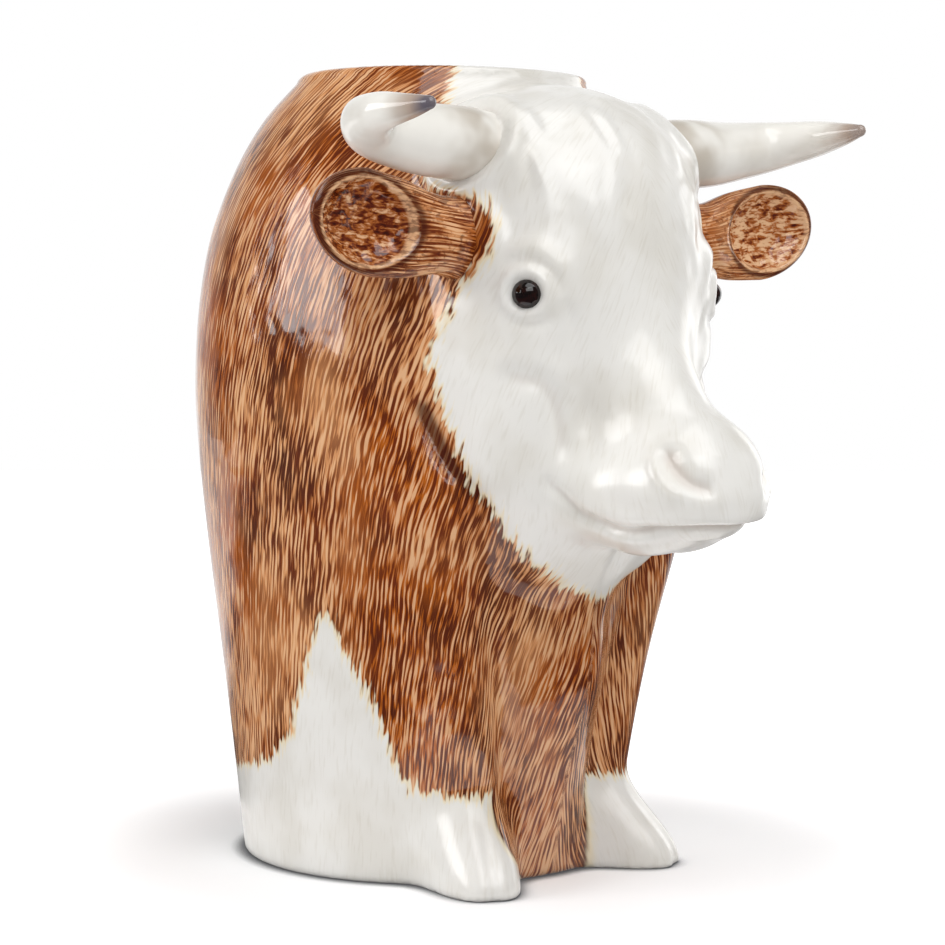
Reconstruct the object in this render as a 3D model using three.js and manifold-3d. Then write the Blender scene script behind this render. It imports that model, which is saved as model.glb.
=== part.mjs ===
// A bull vase: the forequarters of a brown and white bull in glazed earthenware, hollow, with an open rim
// above the shoulders. Millimetres, +Z up, the bull faces -Y and its left side is +X.
import * as THREE from "three";
import { mergeVertices } from "three/addons/utils/BufferGeometryUtils.js";
import Module from "manifold-3d";

const wasm = await Module();
wasm.setup();

const { clamp, degToRad, lerp, smoothstep } = THREE.MathUtils;

// Driving sizes of the casting
const HEIGHT = 215;
const WALL = 5;
const FLOOR_THICKNESS = 6;
const FLOOR_FILLET = 7;
const FOOT_RECESS = 2;
const FOOT_RING_WIDTH = 7;
const FOOT_ROUND = 1.2;
const SEAM_GAP = 0.3;

// The body's axis stands behind the forelegs and leans forward to the rim
const AXIS_AT_FOOT = 27;
const AXIS_AT_CREST = 24.5;
const AXIS_AT_RIM = 20;

// Drops of the upper stations below the rim
const NAPE_DROP = 58;
const NECK_DROP = 38;
const CREST_DROP = 12;

// Body stations from foot to rim: height, reach to the side, back and front of the axis, squareness in front
const FOOT = { height: 0, side: 50.5, back: 52.5, front: 51.5, square: 2 };
const KNEE = { height: 29, side: 53, back: 56.5, front: 54, square: 2 };
const ELBOW = { height: 58, side: 56, back: 60.5, front: 57.5, square: 2.05 };
const BRISKET = { height: 86, side: 59, back: 64.5, front: 59.5, square: 2.4 };
const SHOULDER = { height: 108, side: 61, back: 67, front: 60, square: 2.8 };
const WITHERS = { height: 132, side: 62, back: 68.5, front: 60, square: 3 };
const NAPE = { height: HEIGHT - NAPE_DROP, side: 60, back: 66.5, front: 57, square: 3 };
const NECK = { height: HEIGHT - NECK_DROP, side: 56, back: 61.5, front: 53, square: 2.8 };
const CREST = { height: HEIGHT - CREST_DROP, side: 45.5, back: 48, front: 43, square: 2.3 };
const RIM = { height: HEIGHT, side: 39.5, back: 34.5, front: 35, square: 2.2 };
const BODY_STATIONS = [FOOT, KNEE, ELBOW, BRISKET, SHOULDER, WITHERS, NAPE, NECK, CREST, RIM];

// Forelegs, hooves and the chest between them, as swellings of the body at an angle from its front
const LEG_ANGLE_AT_HOOF = degToRad(27);
const LEG_ANGLE_AT_SHOULDER = degToRad(40);
const LEG_HALF_ANGLE = degToRad(12);
const LEG_BEND = 1.5;
const LEG_TOP = 128;
const LEG_REACH_AT_HOOF = 4;
const LEG_REACH_AT_SHOULDER = 7.5;
const HOOF_HEIGHT = 27;
const HOOF_REACH = 18.5;
const HOOF_HALF_ANGLE = degToRad(12);
const CLEFT_DEPTH = 1.4;
const CLEFT_HALF_ANGLE = degToRad(1.8);
const CLEFT_FULL_HEIGHT = 7;
const CREASE_DEPTH = 4;
const CREASE_HALF_ANGLE = degToRad(4.5);
const CREASE_FULL_HEIGHT = 43;
const CREASE_TOP = 96;
const KEEL_REACH = 9;
const KEEL_HALF_ANGLE = degToRad(10);
const KEEL_MIDDLE_HEIGHT = 63;
const KEEL_HALF_HEIGHT = 36;

// The inside follows the outside, with the wall measured square to slopes up to this one
const STEEPEST_SLOPE = 0.7;

// Facets of the castings
const BODY_COLUMNS = 60;
const BODY_ROWS = 28;
const INNER_ROWS = 10;
const LIP_ROWS = 3;
const FILLET_ROWS = 2;
const FRONT_CROWDING = 0.36;
const END_CROWDING = 0.45;
const HEAD_FACETS = { columns: 52, rowStep: 4.4, capRows: 14, crowding: FRONT_CROWDING };
const CAVITY_FACETS = { columns: 22, rowStep: 10, capRows: 6, crowding: 0 };
const EYE_FACETS = 16;
const LID_FACETS = 6;
const NOSTRIL_FACETS = 14;
const MERGE_DISTANCE = 1e-4;

// The eye line sets the head: its drop below the rim and its reach ahead of the origin
const EYE_DROP = 60;
const EYE_REACH = 51.5;
const EYE_SPREAD = 34;
const EYE_LIFT = 1.3;
const EYE_RADIUS = 3.9;
const EYE_SINK = 2.5;
const EYE_OUTLOOK = new THREE.Vector3(0.86, -0.5, 0.06).normalize();
const LID_RING_RADIUS = 4;
const LID_RADIUS = 1;
const LID_SINK = 0.5;

// Nostrils, pressed into the muzzle on a slant
const NOSTRIL_PLACE = [15.5, -34.5, -43];
const NOSTRIL_HALF_SIZE = [3.8, 7, 3.4];
const NOSTRIL_TILT = degToRad(-28);
const NOSTRIL_TURN = degToRad(-28);

// Masses of the head, from the eye line: place across, behind and above it, half sizes, tilt in degrees
const CRANIUM = { at: [0, 27, 26], half: [38, 33, 29] };
const FOREHEAD = { at: [0, 14, 8], half: [34, 25, 33], tilt: -4 };
const HORN_SEAT = { at: [27, 23, 34], half: [14.5, 14, 14] };
const ORBIT = { at: [25.5, 8, 0.5], half: [10.5, 10, 11] };
const TEMPLE = { at: [27, 26, -8], half: [15.5, 19, 26] };
const CHEEK = { at: [21, 18, -28], half: [17, 20, 25], tilt: 20 };
const MUZZLE = { at: [0, -21.8, -47.5], half: [20, 17, 11.5] };
const NOSE_PAD = { at: [0, -28.3, -42], half: [14, 9, 8], tilt: 35 };
const UPPER_LIP = { at: [0, -27.5, -53], half: [14.5, 12.5, 5] };
const CHIN = { at: [0, -13.5, -57.5], half: [12, 9.5, 5] };
const JOWL = { at: [9, 20, -53], half: [22, 20, 23] };
const NECK_CORE = { at: [0, 40, -20], half: [27, 20, 38] };

// Bars of the head: both ends from the eye line and the radius at each end
const NOSE = { from: [0, 12, -4], to: [0, -16.5, -40], radii: [19.5, 13.5] };
const JAW = { from: [20, 18, -40], to: [8, -12, -54], radii: [15, 8.5] };
const THROAT = { from: [0, 16, -55], to: [0, 18.5, -76], radii: [14, 6.5] };

// The mouth runs round the muzzle from under the nose to the corner in the cheek
const MOUTH_MIDDLE = [0, -36.5, -60];
const MOUTH_LIP = [10, -33.5, -60];
const MOUTH_SIDE = [18, -24.5, -59.8];
const MOUTH_BEND = [22, -14, -58];
const MOUTH_RISE = [26, -4, -54.5];
const MOUTH_CORNER = [28, 2, -51.5];
const MOUTH_PATH = [MOUTH_MIDDLE, MOUTH_LIP, MOUTH_SIDE, MOUTH_BEND, MOUTH_RISE, MOUTH_CORNER];
const MOUTH_RADIUS = 1.8;
const MOUTH_SAMPLES = 22;

const MASS_BLEND = 11;
const MOUTH_BLEND = 2;

// The spine that the head's skin is cast from, from the eye line
const SPINE_TOP = new THREE.Vector3(0, 26, 30);
const SPINE_END = new THREE.Vector3(0, 1, -47);
const CAST_REACH = 75;
const CAST_STEP = 1.5;
const CAST_HALVINGS = 14;

// Horns: centre line from root to tip, measured from the eye line, and its radius
const HORN_ROOT = [28, 20.5, 36.5];
const HORN_FOOT = [40, 20, 38];
const HORN_MIDDLE = [57, 20, 39];
const HORN_TURN = [71, 16.5, 41];
const HORN_BEND = [78, 4.5, 43];
const HORN_TIP = [77, -12.5, 44.5];
const HORN_PATH = [HORN_ROOT, HORN_FOOT, HORN_MIDDLE, HORN_TURN, HORN_BEND, HORN_TIP];
const HORN_ROOT_RADIUS = 9.8;
const HORN_TIP_RADIUS = 1.3;
const HORN_TAPER = 2;
const HORN_STATIONS = 16;
const HORN_SIDES = 14;

// Ears: flattened buds from a round stalk, each with a cup pressed into its front
const EAR_ROOT = new THREE.Vector3(38, 20, 14);
const EAR_TIP = new THREE.Vector3(89.5, 15.5, 19.5);
const EAR_WIDEST = 70;
const EAR_SEAT = { across: EAR_ROOT.x, height: 11, front: 7.5, back: 11 };
const EAR_STALK = { across: 48, height: 10, front: 6.5, back: 9 };
const EAR_SHOULDER = { across: 58, height: 12, front: 3.2, back: 8.5 };
const EAR_MIDDLE = { across: EAR_WIDEST, height: 13.2, front: 2.2, back: 8 };
const EAR_SECTIONS = [EAR_SEAT, EAR_STALK, EAR_SHOULDER, EAR_MIDDLE];
const EAR_CUP_MIDDLE = 69.5;
const EAR_CUP_DEPTH = 7;
const EAR_RIM = 2.4;
const EAR_STATIONS = 13;
const EAR_SIDES = 18;
const EAR_CUP_FACETS = 16;

// A smooth value that passes through pairs of place and value
function through(pairs) {
  const places = pairs.map(([place]) => place);
  const curve = new THREE.CubicInterpolant(places, pairs.map(([, value]) => value), 1);
  return (place) => curve.evaluate(clamp(place, places[0], places[places.length - 1]))[0];
}

function swelling(offset, halfSize) {
  return Math.exp(-((offset / halfSize) ** 2));
}

function flatSwelling(offset, halfSize) {
  return Math.exp(-(Math.abs(offset / halfSize) ** 3));
}

// Values along the body's height
const station = (name) => through(BODY_STATIONS.map((level) => [level.height, level[name]]));
const sideReach = station("side");
const backReach = station("back");
const frontReach = station("front");
const squareness = station("square");
const axisAt = through([
  [FOOT.height, AXIS_AT_FOOT],
  [WITHERS.height, AXIS_AT_FOOT],
  [NECK.height, AXIS_AT_FOOT],
  [CREST.height, AXIS_AT_CREST],
  [RIM.height, AXIS_AT_RIM],
]);

// How far up the foreleg a height is, drawn towards the hoof
function legShare(height) {
  return clamp(height / BRISKET.height, 0, 1) ** LEG_BEND;
}

function legAngleAt(height) {
  return lerp(LEG_ANGLE_AT_HOOF, LEG_ANGLE_AT_SHOULDER, legShare(height));
}

// One up to the first height, and fading to nothing at the second
function fade(height, full, gone) {
  return 1 - smoothstep(height, full, gone);
}

// Reach of the body from its axis at an angle from the front and a height
function bodyReach(angle, height) {
  const inFront = Math.cos(angle) > 0;
  const power = inFront ? squareness(height) : 2;
  const across = Math.abs(Math.sin(angle)) / sideReach(height);
  const along = Math.abs(Math.cos(angle)) / (inFront ? frontReach(height) : backReach(height));
  const plain = (across ** power + along ** power) ** (-1 / power);
  const turn = Math.abs(angle);
  const legAngle = legAngleAt(height);
  const legReach = lerp(LEG_REACH_AT_HOOF, LEG_REACH_AT_SHOULDER, legShare(height));
  const leg = legReach * fade(height, BRISKET.height, LEG_TOP);
  const hoof = HOOF_REACH * fade(height, 0, HOOF_HEIGHT);
  const cleft = CLEFT_DEPTH * fade(height, CLEFT_FULL_HEIGHT, HOOF_HEIGHT);
  const crease = CREASE_DEPTH * fade(height, CREASE_FULL_HEIGHT, CREASE_TOP);
  const keel = KEEL_REACH * swelling(height - KEEL_MIDDLE_HEIGHT, KEEL_HALF_HEIGHT);
  return plain
    + leg * swelling(turn - legAngle, LEG_HALF_ANGLE)
    + hoof * flatSwelling(turn - LEG_ANGLE_AT_HOOF, HOOF_HALF_ANGLE)
    - cleft * swelling(turn - LEG_ANGLE_AT_HOOF, CLEFT_HALF_ANGLE)
    - crease * swelling(turn - legAngle + LEG_HALF_ANGLE, CREASE_HALF_ANGLE)
    + keel * swelling(turn, KEEL_HALF_ANGLE);
}

// A closed skin over rows of points: each row goes once round, and a pole closes each end
function skin(firstPole, rows, lastPole) {
  const points = [firstPole, ...rows.flat(), lastPole];
  const columns = rows[0].length;
  const lastRow = rows.length - 1;
  const at = (row, column) => 1 + row * columns + (column % columns);
  const faces = [];
  for (let column = 0; column < columns; column++) {
    faces.push(0, at(0, column + 1), at(0, column));
    faces.push(points.length - 1, at(lastRow, column), at(lastRow, column + 1));
    for (let row = 0; row < lastRow; row++) {
      faces.push(at(row, column), at(row, column + 1), at(row + 1, column + 1));
      faces.push(at(row, column), at(row + 1, column + 1), at(row + 1, column));
    }
  }
  return new THREE.BufferGeometry().setFromPoints(points).setIndex(faces);
}

function solidOf(geometry) {
  const plain = geometry.clone();
  plain.deleteAttribute("normal");
  plain.deleteAttribute("uv");
  const merged = mergeVertices(plain, MERGE_DISTANCE);
  const vertProperties = merged.attributes.position.array;
  const triVerts = new Uint32Array(merged.index.array);
  return new wasm.Manifold(new wasm.Mesh({ numProp: 3, vertProperties, triVerts }));
}

function geometryOf(solid) {
  const mesh = solid.getMesh();
  const geometry = new THREE.BufferGeometry();
  geometry.setAttribute("position", new THREE.BufferAttribute(mesh.vertProperties, 3));
  geometry.setIndex(new THREE.BufferAttribute(mesh.triVerts, 1));
  geometry.computeVertexNormals();
  return geometry;
}

function mirrored(geometry) {
  const flipped = geometry.clone().applyMatrix4(new THREE.Matrix4().makeScale(-1, 1, 1));
  const index = flipped.index.array;
  for (let corner = 0; corner < index.length; corner += 3) {
    [index[corner + 1], index[corner + 2]] = [index[corner + 2], index[corner + 1]];
  }
  return flipped;
}

// One row of the body: its columns crowd in front and keep to the forelegs as these lean outwards
function ringAt(height, reachAt) {
  const lean = (legAngleAt(height) - LEG_ANGLE_AT_HOOF) / Math.sin(LEG_ANGLE_AT_HOOF);
  return Array.from({ length: BODY_COLUMNS }, (_, column) => {
    const turn = (column / BODY_COLUMNS) * 2 * Math.PI - Math.PI;
    const angle = turn + (lean - FRONT_CROWDING) * Math.sin(turn);
    const reach = reachAt(angle);
    return new THREE.Vector3(reach * Math.sin(angle), axisAt(height) - reach * Math.cos(angle), height);
  });
}

// Heights between two levels, closer together at both ends
function crowdedHeights(low, high, count) {
  return Array.from({ length: count + 1 }, (_, row) => {
    const share = row / count;
    return lerp(low, high, share - (END_CROWDING * Math.sin(2 * Math.PI * share)) / (2 * Math.PI));
  });
}

// The body's outer rows, drawn out by a clearance
function outerRows(clearance) {
  const base = ringAt(0, (angle) => bodyReach(angle, 0) - FOOT_ROUND + clearance);
  const heights = crowdedHeights(FOOT_ROUND, HEIGHT - WALL / 2, BODY_ROWS);
  return [base, ...heights.map((height) => ringAt(height, (angle) => bodyReach(angle, height) + clearance))];
}

// The reach of the inside, a wall's thickness in from the outside
function innerReach(angle, height) {
  const slope = (bodyReach(angle, height + 1) - bodyReach(angle, height - 1)) / 2;
  return bodyReach(angle, height) - WALL * Math.hypot(1, clamp(slope, -STEEPEST_SLOPE, STEEPEST_SLOPE));
}

function bodyBlank(clearance) {
  const foot = new THREE.Vector3(0, AXIS_AT_FOOT, -clearance);
  const top = new THREE.Vector3(0, AXIS_AT_RIM, HEIGHT + clearance);
  const rows = outerRows(clearance);
  rows[0].forEach((point) => point.setZ(-clearance));
  rows.push(ringAt(HEIGHT + clearance, (angle) => bodyReach(angle, HEIGHT) - WALL / 2 + clearance));
  return solidOf(skin(foot, rows, top));
}

function bodyShell() {
  const lipHeight = HEIGHT - WALL / 2;
  const lip = Array.from({ length: LIP_ROWS }, (_, row) => {
    const turn = ((row + 1) / (LIP_ROWS + 1)) * Math.PI;
    return ringAt(lipHeight + (WALL / 2) * Math.sin(turn), (angle) => {
      const outer = bodyReach(angle, lipHeight);
      const inner = innerReach(angle, lipHeight);
      return lerp(inner, outer, (1 + Math.cos(turn)) / 2);
    });
  });
  const floorTop = FOOT_RECESS + FLOOR_THICKNESS;
  const filletTop = floorTop + FLOOR_FILLET;
  const inner = crowdedHeights(filletTop, lipHeight, INNER_ROWS)
    .reverse()
    .map((height) => ringAt(height, (angle) => innerReach(angle, height)));
  const fillet = Array.from({ length: FILLET_ROWS }, (_, row) => {
    const turn = ((row + 1) / FILLET_ROWS) * (Math.PI / 2);
    const inset = FLOOR_FILLET * (1 - Math.cos(turn));
    const height = filletTop - FLOOR_FILLET * Math.sin(turn);
    return ringAt(height, (angle) => innerReach(angle, filletTop) - inset);
  });
  const ringInside = ringAt(0, (angle) => bodyReach(angle, 0) - FOOT_RING_WIDTH);
  const recessEdge = ringInside.map((point) => point.clone().setZ(FOOT_RECESS));
  const rows = [recessEdge, ringInside, ...outerRows(0), ...lip, ...inner, ...fillet];
  const underside = new THREE.Vector3(0, AXIS_AT_FOOT, FOOT_RECESS);
  const floor = new THREE.Vector3(0, AXIS_AT_FOOT, floorTop);
  return solidOf(skin(underside, rows, floor));
}

// Distance from an ellipsoid's skin, true close to it and below zero inside
function ellipsoidField({ at: [x0, y0, z0], half: [a, b, c], tilt = 0 }) {
  const cosine = Math.cos(degToRad(tilt));
  const sine = Math.sin(degToRad(tilt));
  return (point) => {
    const x = Math.abs(point.x) - x0;
    const y = (point.y - y0) * cosine + (point.z - z0) * sine;
    const z = (point.z - z0) * cosine - (point.y - y0) * sine;
    const share = Math.hypot(x / a, y / b, z / c);
    const steepness = Math.hypot(x / a ** 2, y / b ** 2, z / c ** 2);
    return steepness > 0 ? (share * (share - 1)) / steepness : -Math.min(a, b, c);
  };
}

// Distance from a round bar whose radius changes evenly from end to end
function barField({ from, to, radii }) {
  const line = new THREE.Line3(new THREE.Vector3(...from), new THREE.Vector3(...to));
  const folded = new THREE.Vector3();
  const nearest = new THREE.Vector3();
  return (point) => {
    folded.set(Math.abs(point.x), point.y, point.z);
    const share = line.closestPointToPointParameter(folded, true);
    return folded.distanceTo(line.at(share, nearest)) - lerp(radii[0], radii[1], share);
  };
}

// Distance from a thin cord laid along a path
function cordField(path, radius, samples) {
  const curve = new THREE.CatmullRomCurve3(path.map((point) => new THREE.Vector3(...point)));
  const beads = curve.getSpacedPoints(samples);
  const bars = beads.slice(1).map((bead, index) => {
    return barField({ from: beads[index].toArray(), to: bead.toArray(), radii: [radius, radius] });
  });
  return (point) => Math.min(...bars.map((bar) => bar(point)));
}

// Joins two distances with a fillet
function blended(first, second, fillet) {
  const overlap = clamp(0.5 + (0.5 * (second - first)) / fillet, 0, 1);
  return lerp(second, first, overlap) - fillet * overlap * (1 - overlap);
}

const UPPER_MASSES = [NECK_CORE, CRANIUM, FOREHEAD, HORN_SEAT, ORBIT, TEMPLE];
const LOWER_MASSES = [CHEEK, MUZZLE, NOSE_PAD, UPPER_LIP, CHIN, JOWL];
const headMasses = [
  ...UPPER_MASSES.map(ellipsoidField),
  ...LOWER_MASSES.map(ellipsoidField),
  ...[NOSE, JAW, THROAT].map(barField),
];
const mouthField = cordField(MOUTH_PATH, MOUTH_RADIUS, MOUTH_SAMPLES);

// Distance from the skin of the head, with the mouth pressed in
function headField(point) {
  const masses = headMasses.map((mass) => mass(point)).reduce((sum, mass) => blended(sum, mass, MASS_BLEND));
  return -blended(-masses, mouthField(point), MOUTH_BLEND);
}

// Where a ray from the spine last leaves the given field
function castOut(origin, direction, field) {
  const point = new THREE.Vector3();
  const fieldAt = (reach) => field(point.copy(origin).addScaledVector(direction, reach));
  let outside = CAST_REACH;
  while (outside > CAST_STEP && fieldAt(outside - CAST_STEP) > 0) {
    outside -= CAST_STEP;
  }
  let inside = Math.max(outside - CAST_STEP, 0);
  for (let step = 0; step < CAST_HALVINGS; step++) {
    const middle = (inside + outside) / 2;
    if (fieldAt(middle) > 0) {
      outside = middle;
    } else {
      inside = middle;
    }
  }
  return origin.clone().addScaledVector(direction, (inside + outside) / 2);
}

// The skin of a field round the head's spine: a round cap above, rows along the spine, a round cap below
function castSkin(field, { columns, rowStep, capRows, crowding }) {
  const along = SPINE_END.clone().sub(SPINE_TOP).normalize();
  const ahead = new THREE.Vector3(0, along.z, -along.y);
  const stations = Math.round(SPINE_TOP.distanceTo(SPINE_END) / rowStep);
  const rays = [];
  for (let row = 1; row <= capRows; row++) {
    rays.push({ origin: SPINE_TOP, lift: (row / capRows - 1) * (Math.PI / 2) });
  }
  for (let row = 1; row < stations; row++) {
    rays.push({ origin: SPINE_TOP.clone().lerp(SPINE_END, row / stations), lift: 0 });
  }
  for (let row = 0; row < capRows; row++) {
    rays.push({ origin: SPINE_END, lift: (row / capRows) * (Math.PI / 2) });
  }
  const rows = rays.map(({ origin, lift }) => Array.from({ length: columns }, (_, column) => {
    const turn = (column / columns) * 2 * Math.PI - Math.PI;
    const angle = turn - crowding * Math.sin(turn);
    const direction = ahead.clone().multiplyScalar(Math.cos(angle) * Math.cos(lift));
    direction.x = -Math.sin(angle) * Math.cos(lift);
    direction.addScaledVector(along, Math.sin(lift));
    return castOut(origin, direction, field);
  }));
  const topPole = castOut(SPINE_TOP, along.clone().negate(), field);
  const endPole = castOut(SPINE_END, along, field);
  return skin(topPole, rows, endPole);
}

const eyeLine = new THREE.Vector3(0, -EYE_REACH, HEIGHT - EYE_DROP);

function placed(geometry) {
  return geometry.translate(eyeLine.x, eyeLine.y, eyeLine.z);
}

function headBlank(clearance) {
  return solidOf(placed(castSkin((point) => headField(point) - clearance, HEAD_FACETS)));
}

function headHollow() {
  return solidOf(placed(castSkin((point) => headField(point) + WALL, CAVITY_FACETS)));
}

// Turns a shape made round the origin to look out along the eye and moves it there
function atEye(geometry, sink) {
  const turn = new THREE.Quaternion().setFromUnitVectors(new THREE.Vector3(0, 0, 1), EYE_OUTLOOK);
  const centre = new THREE.Vector3(EYE_SPREAD, 0, EYE_LIFT).addScaledVector(EYE_OUTLOOK, -sink);
  return placed(geometry.applyQuaternion(turn).translate(centre.x, centre.y, centre.z));
}

// The bull's left eye, with its lids as a rounded ring
function eyeBlank() {
  const ball = atEye(new THREE.SphereGeometry(EYE_RADIUS, EYE_FACETS, EYE_FACETS / 2), EYE_SINK);
  const lids = atEye(new THREE.TorusGeometry(LID_RING_RADIUS, LID_RADIUS, LID_FACETS, EYE_FACETS), LID_SINK);
  return [ball, lids];
}

function nostrilBlank() {
  const dent = new THREE.SphereGeometry(1, NOSTRIL_FACETS, NOSTRIL_FACETS / 2).scale(...NOSTRIL_HALF_SIZE);
  dent.rotateX(-NOSTRIL_TILT).rotateZ(NOSTRIL_TURN).translate(...NOSTRIL_PLACE);
  return placed(dent);
}

// A shape and its mirror image, joined
function bothSides(geometry) {
  return solidOf(geometry).add(solidOf(mirrored(geometry)));
}

// A tapered, curved horn on the bull's left
function hornBlank() {
  const curve = new THREE.CatmullRomCurve3(HORN_PATH.map((point) => new THREE.Vector3(...point)));
  const frames = curve.computeFrenetFrames(HORN_STATIONS);
  const rows = frames.tangents.map((_, index) => {
    const share = index / HORN_STATIONS;
    const radius = lerp(HORN_TIP_RADIUS, HORN_ROOT_RADIUS, 1 - share ** HORN_TAPER);
    const centre = curve.getPointAt(share);
    return Array.from({ length: HORN_SIDES }, (_, side) => {
      const turn = (side / HORN_SIDES) * 2 * Math.PI;
      return centre.clone()
        .addScaledVector(frames.normals[index], radius * Math.cos(turn))
        .addScaledVector(frames.binormals[index], radius * Math.sin(turn));
    });
  });
  const tip = curve.getPointAt(1).addScaledVector(frames.tangents[HORN_STATIONS], HORN_TIP_RADIUS);
  return placed(skin(curve.getPointAt(0), rows, tip));
}

const earSection = (name) => through(EAR_SECTIONS.map((section) => [section.across, section[name]]));
const earHeight = earSection("height");
const earFront = earSection("front");
const earBack = earSection("back");

function earCentre(across) {
  return EAR_ROOT.clone().lerp(EAR_TIP, (across - EAR_ROOT.x) / (EAR_TIP.x - EAR_ROOT.x));
}

// The bud of the bull's left ear: round at the stalk, flat in front, closing in an oval at the tip
function earBud() {
  const rows = Array.from({ length: EAR_STATIONS }, (_, row) => {
    const across = lerp(EAR_ROOT.x, EAR_TIP.x, Math.sin((row / EAR_STATIONS) * (Math.PI / 2)));
    const beyond = Math.max(across - EAR_WIDEST, 0) / (EAR_TIP.x - EAR_WIDEST);
    const closing = Math.sqrt(1 - beyond ** 2);
    return Array.from({ length: EAR_SIDES }, (_, side) => {
      const turn = (side / EAR_SIDES) * 2 * Math.PI;
      const depth = Math.sin(turn) > 0 ? earBack(across) : earFront(across);
      const offset = new THREE.Vector3(0, depth * Math.sin(turn), -earHeight(across) * Math.cos(turn));
      return earCentre(across).addScaledVector(offset, closing);
    });
  });
  return placed(skin(EAR_ROOT.clone(), rows, EAR_TIP.clone()));
}

// The hollow of the ear, an oval that leaves the rim standing
function earCup() {
  const length = EAR_TIP.x - EAR_CUP_MIDDLE - EAR_RIM;
  const height = EAR_MIDDLE.height - EAR_RIM;
  const centre = earCentre(EAR_CUP_MIDDLE);
  const rise = Math.atan2(EAR_TIP.z - EAR_ROOT.z, EAR_TIP.x - EAR_ROOT.x);
  const cup = new THREE.SphereGeometry(1, EAR_CUP_FACETS, EAR_CUP_FACETS / 2).rotateX(Math.PI / 2);
  cup.scale(length, EAR_CUP_DEPTH, height).rotateY(-rise);
  return placed(cup.translate(centre.x, centre.y - EAR_MIDDLE.front, centre.z));
}

const coat = new THREE.MeshStandardMaterial({ color: 0x9a5226, roughness: 0.15, metalness: 0 });
const whiteGlaze = new THREE.MeshStandardMaterial({ color: 0xe9e6df, roughness: 0.12, metalness: 0 });
const hornGlaze = new THREE.MeshStandardMaterial({ color: 0xcfc8bb, roughness: 0.18, metalness: 0 });
const earGlaze = new THREE.MeshStandardMaterial({ color: 0x7a3f1d, roughness: 0.15, metalness: 0 });

const vase = new THREE.Group();

function addPiece(name, solid, material) {
  const piece = new THREE.Mesh(geometryOf(solid), material);
  piece.name = name;
  vase.add(piece);
}

const hollow = headHollow();
const clearBody = bodyBlank(SEAM_GAP);
const clearHead = headBlank(SEAM_GAP);
const seats = clearBody.add(clearHead);
const eyes = eyeBlank().map(bothSides).reduce((sum, part) => sum.add(part));
const face = headBlank(0).add(eyes).subtract(bothSides(nostrilBlank()));

addPiece("vase_body", bodyShell().subtract(hollow), coat);
addPiece("head", face.subtract(hollow).subtract(clearBody), whiteGlaze);

for (const [side, shape] of [["left", (blank) => blank], ["right", mirrored]]) {
  const ear = solidOf(shape(earBud())).subtract(solidOf(shape(earCup())));
  addPiece(`horn_${side}`, solidOf(shape(hornBlank())).subtract(seats), hornGlaze);
  addPiece(`ear_${side}`, ear.subtract(seats), earGlaze);
}

// The origin lies on the ground, under the middle of the whole vase
const middle = new THREE.Box3().setFromObject(vase).getCenter(new THREE.Vector3());
vase.position.set(-middle.x, -middle.y, 0);

export default vase;
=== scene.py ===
import math

import bmesh
import bpy
import numpy as np
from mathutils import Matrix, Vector


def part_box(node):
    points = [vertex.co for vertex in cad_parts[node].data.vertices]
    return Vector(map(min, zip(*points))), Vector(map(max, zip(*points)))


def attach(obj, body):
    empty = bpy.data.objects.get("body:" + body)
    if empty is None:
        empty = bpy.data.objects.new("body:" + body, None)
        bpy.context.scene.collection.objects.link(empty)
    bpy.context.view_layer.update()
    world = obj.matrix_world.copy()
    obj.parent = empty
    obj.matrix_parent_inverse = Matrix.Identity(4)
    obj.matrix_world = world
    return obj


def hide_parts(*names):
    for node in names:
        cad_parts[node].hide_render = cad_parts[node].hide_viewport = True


MM = 0.001

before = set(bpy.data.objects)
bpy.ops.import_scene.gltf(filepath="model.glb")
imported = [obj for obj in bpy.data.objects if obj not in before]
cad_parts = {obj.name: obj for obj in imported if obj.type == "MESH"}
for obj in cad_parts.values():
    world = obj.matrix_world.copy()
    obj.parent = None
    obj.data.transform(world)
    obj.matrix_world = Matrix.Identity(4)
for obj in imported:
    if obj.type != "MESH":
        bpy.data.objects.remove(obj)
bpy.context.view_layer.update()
scene = bpy.context.scene

# The body of the casting: its height, wall and rim, as the solids have them
HEIGHT = 215
WALL = 5
FOOT_ROUND = 1.2
LIP = HEIGHT - WALL / 2
BODY_BACK = 95.5
FORWARD_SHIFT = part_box("vase_body")[1].y / MM - BODY_BACK

# Stations of the body from foot to rim: height, reach to the side, back and front, and squareness in front
STATIONS = np.array(
    (
        (0, 50.5, 52.5, 51.5, 2),
        (29, 53, 56.5, 54, 2),
        (58, 56, 60.5, 57.5, 2.05),
        (86, 59, 64.5, 59.5, 2.4),
        (108, 61, 67, 60, 2.8),
        (132, 62, 68.5, 60, 3),
        (157, 60, 66.5, 57, 3),
        (177, 56, 61.5, 53, 2.8),
        (203, 45.5, 48, 43, 2.3),
        (215, 39.5, 34.5, 35, 2.2),
    ),
    float,
)
AXIS_PLACES = (0, 132, 177, 203, 215)
AXIS_VALUES = (27, 27, 27, 24.5, 20)

# Forelegs, hooves, creases and keel of the chest: angles from the front in degrees, reaches in millimetres
HOOF_ANGLE = 27
SHOULDER_ANGLE = 40
LEG_HALF_ANGLE = 12
LEG_BEND = 1.5
LEG_RISE = 86
LEG_TOP = 128
LEG_REACH = (4, 7.5)
HOOF_HEIGHT = 27
HOOF_REACH = 18.5
HOOF_HALF_ANGLE = 12
CLEFT = {"depth": 0.9, "half_angle": 1.8, "full": 7}
CREASE = {"depth": 4, "half_angle": 4.5, "full": 43, "gone": 96}
KEEL = {"reach": 9, "half_angle": 10, "middle": 63, "half_height": 36}

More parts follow.
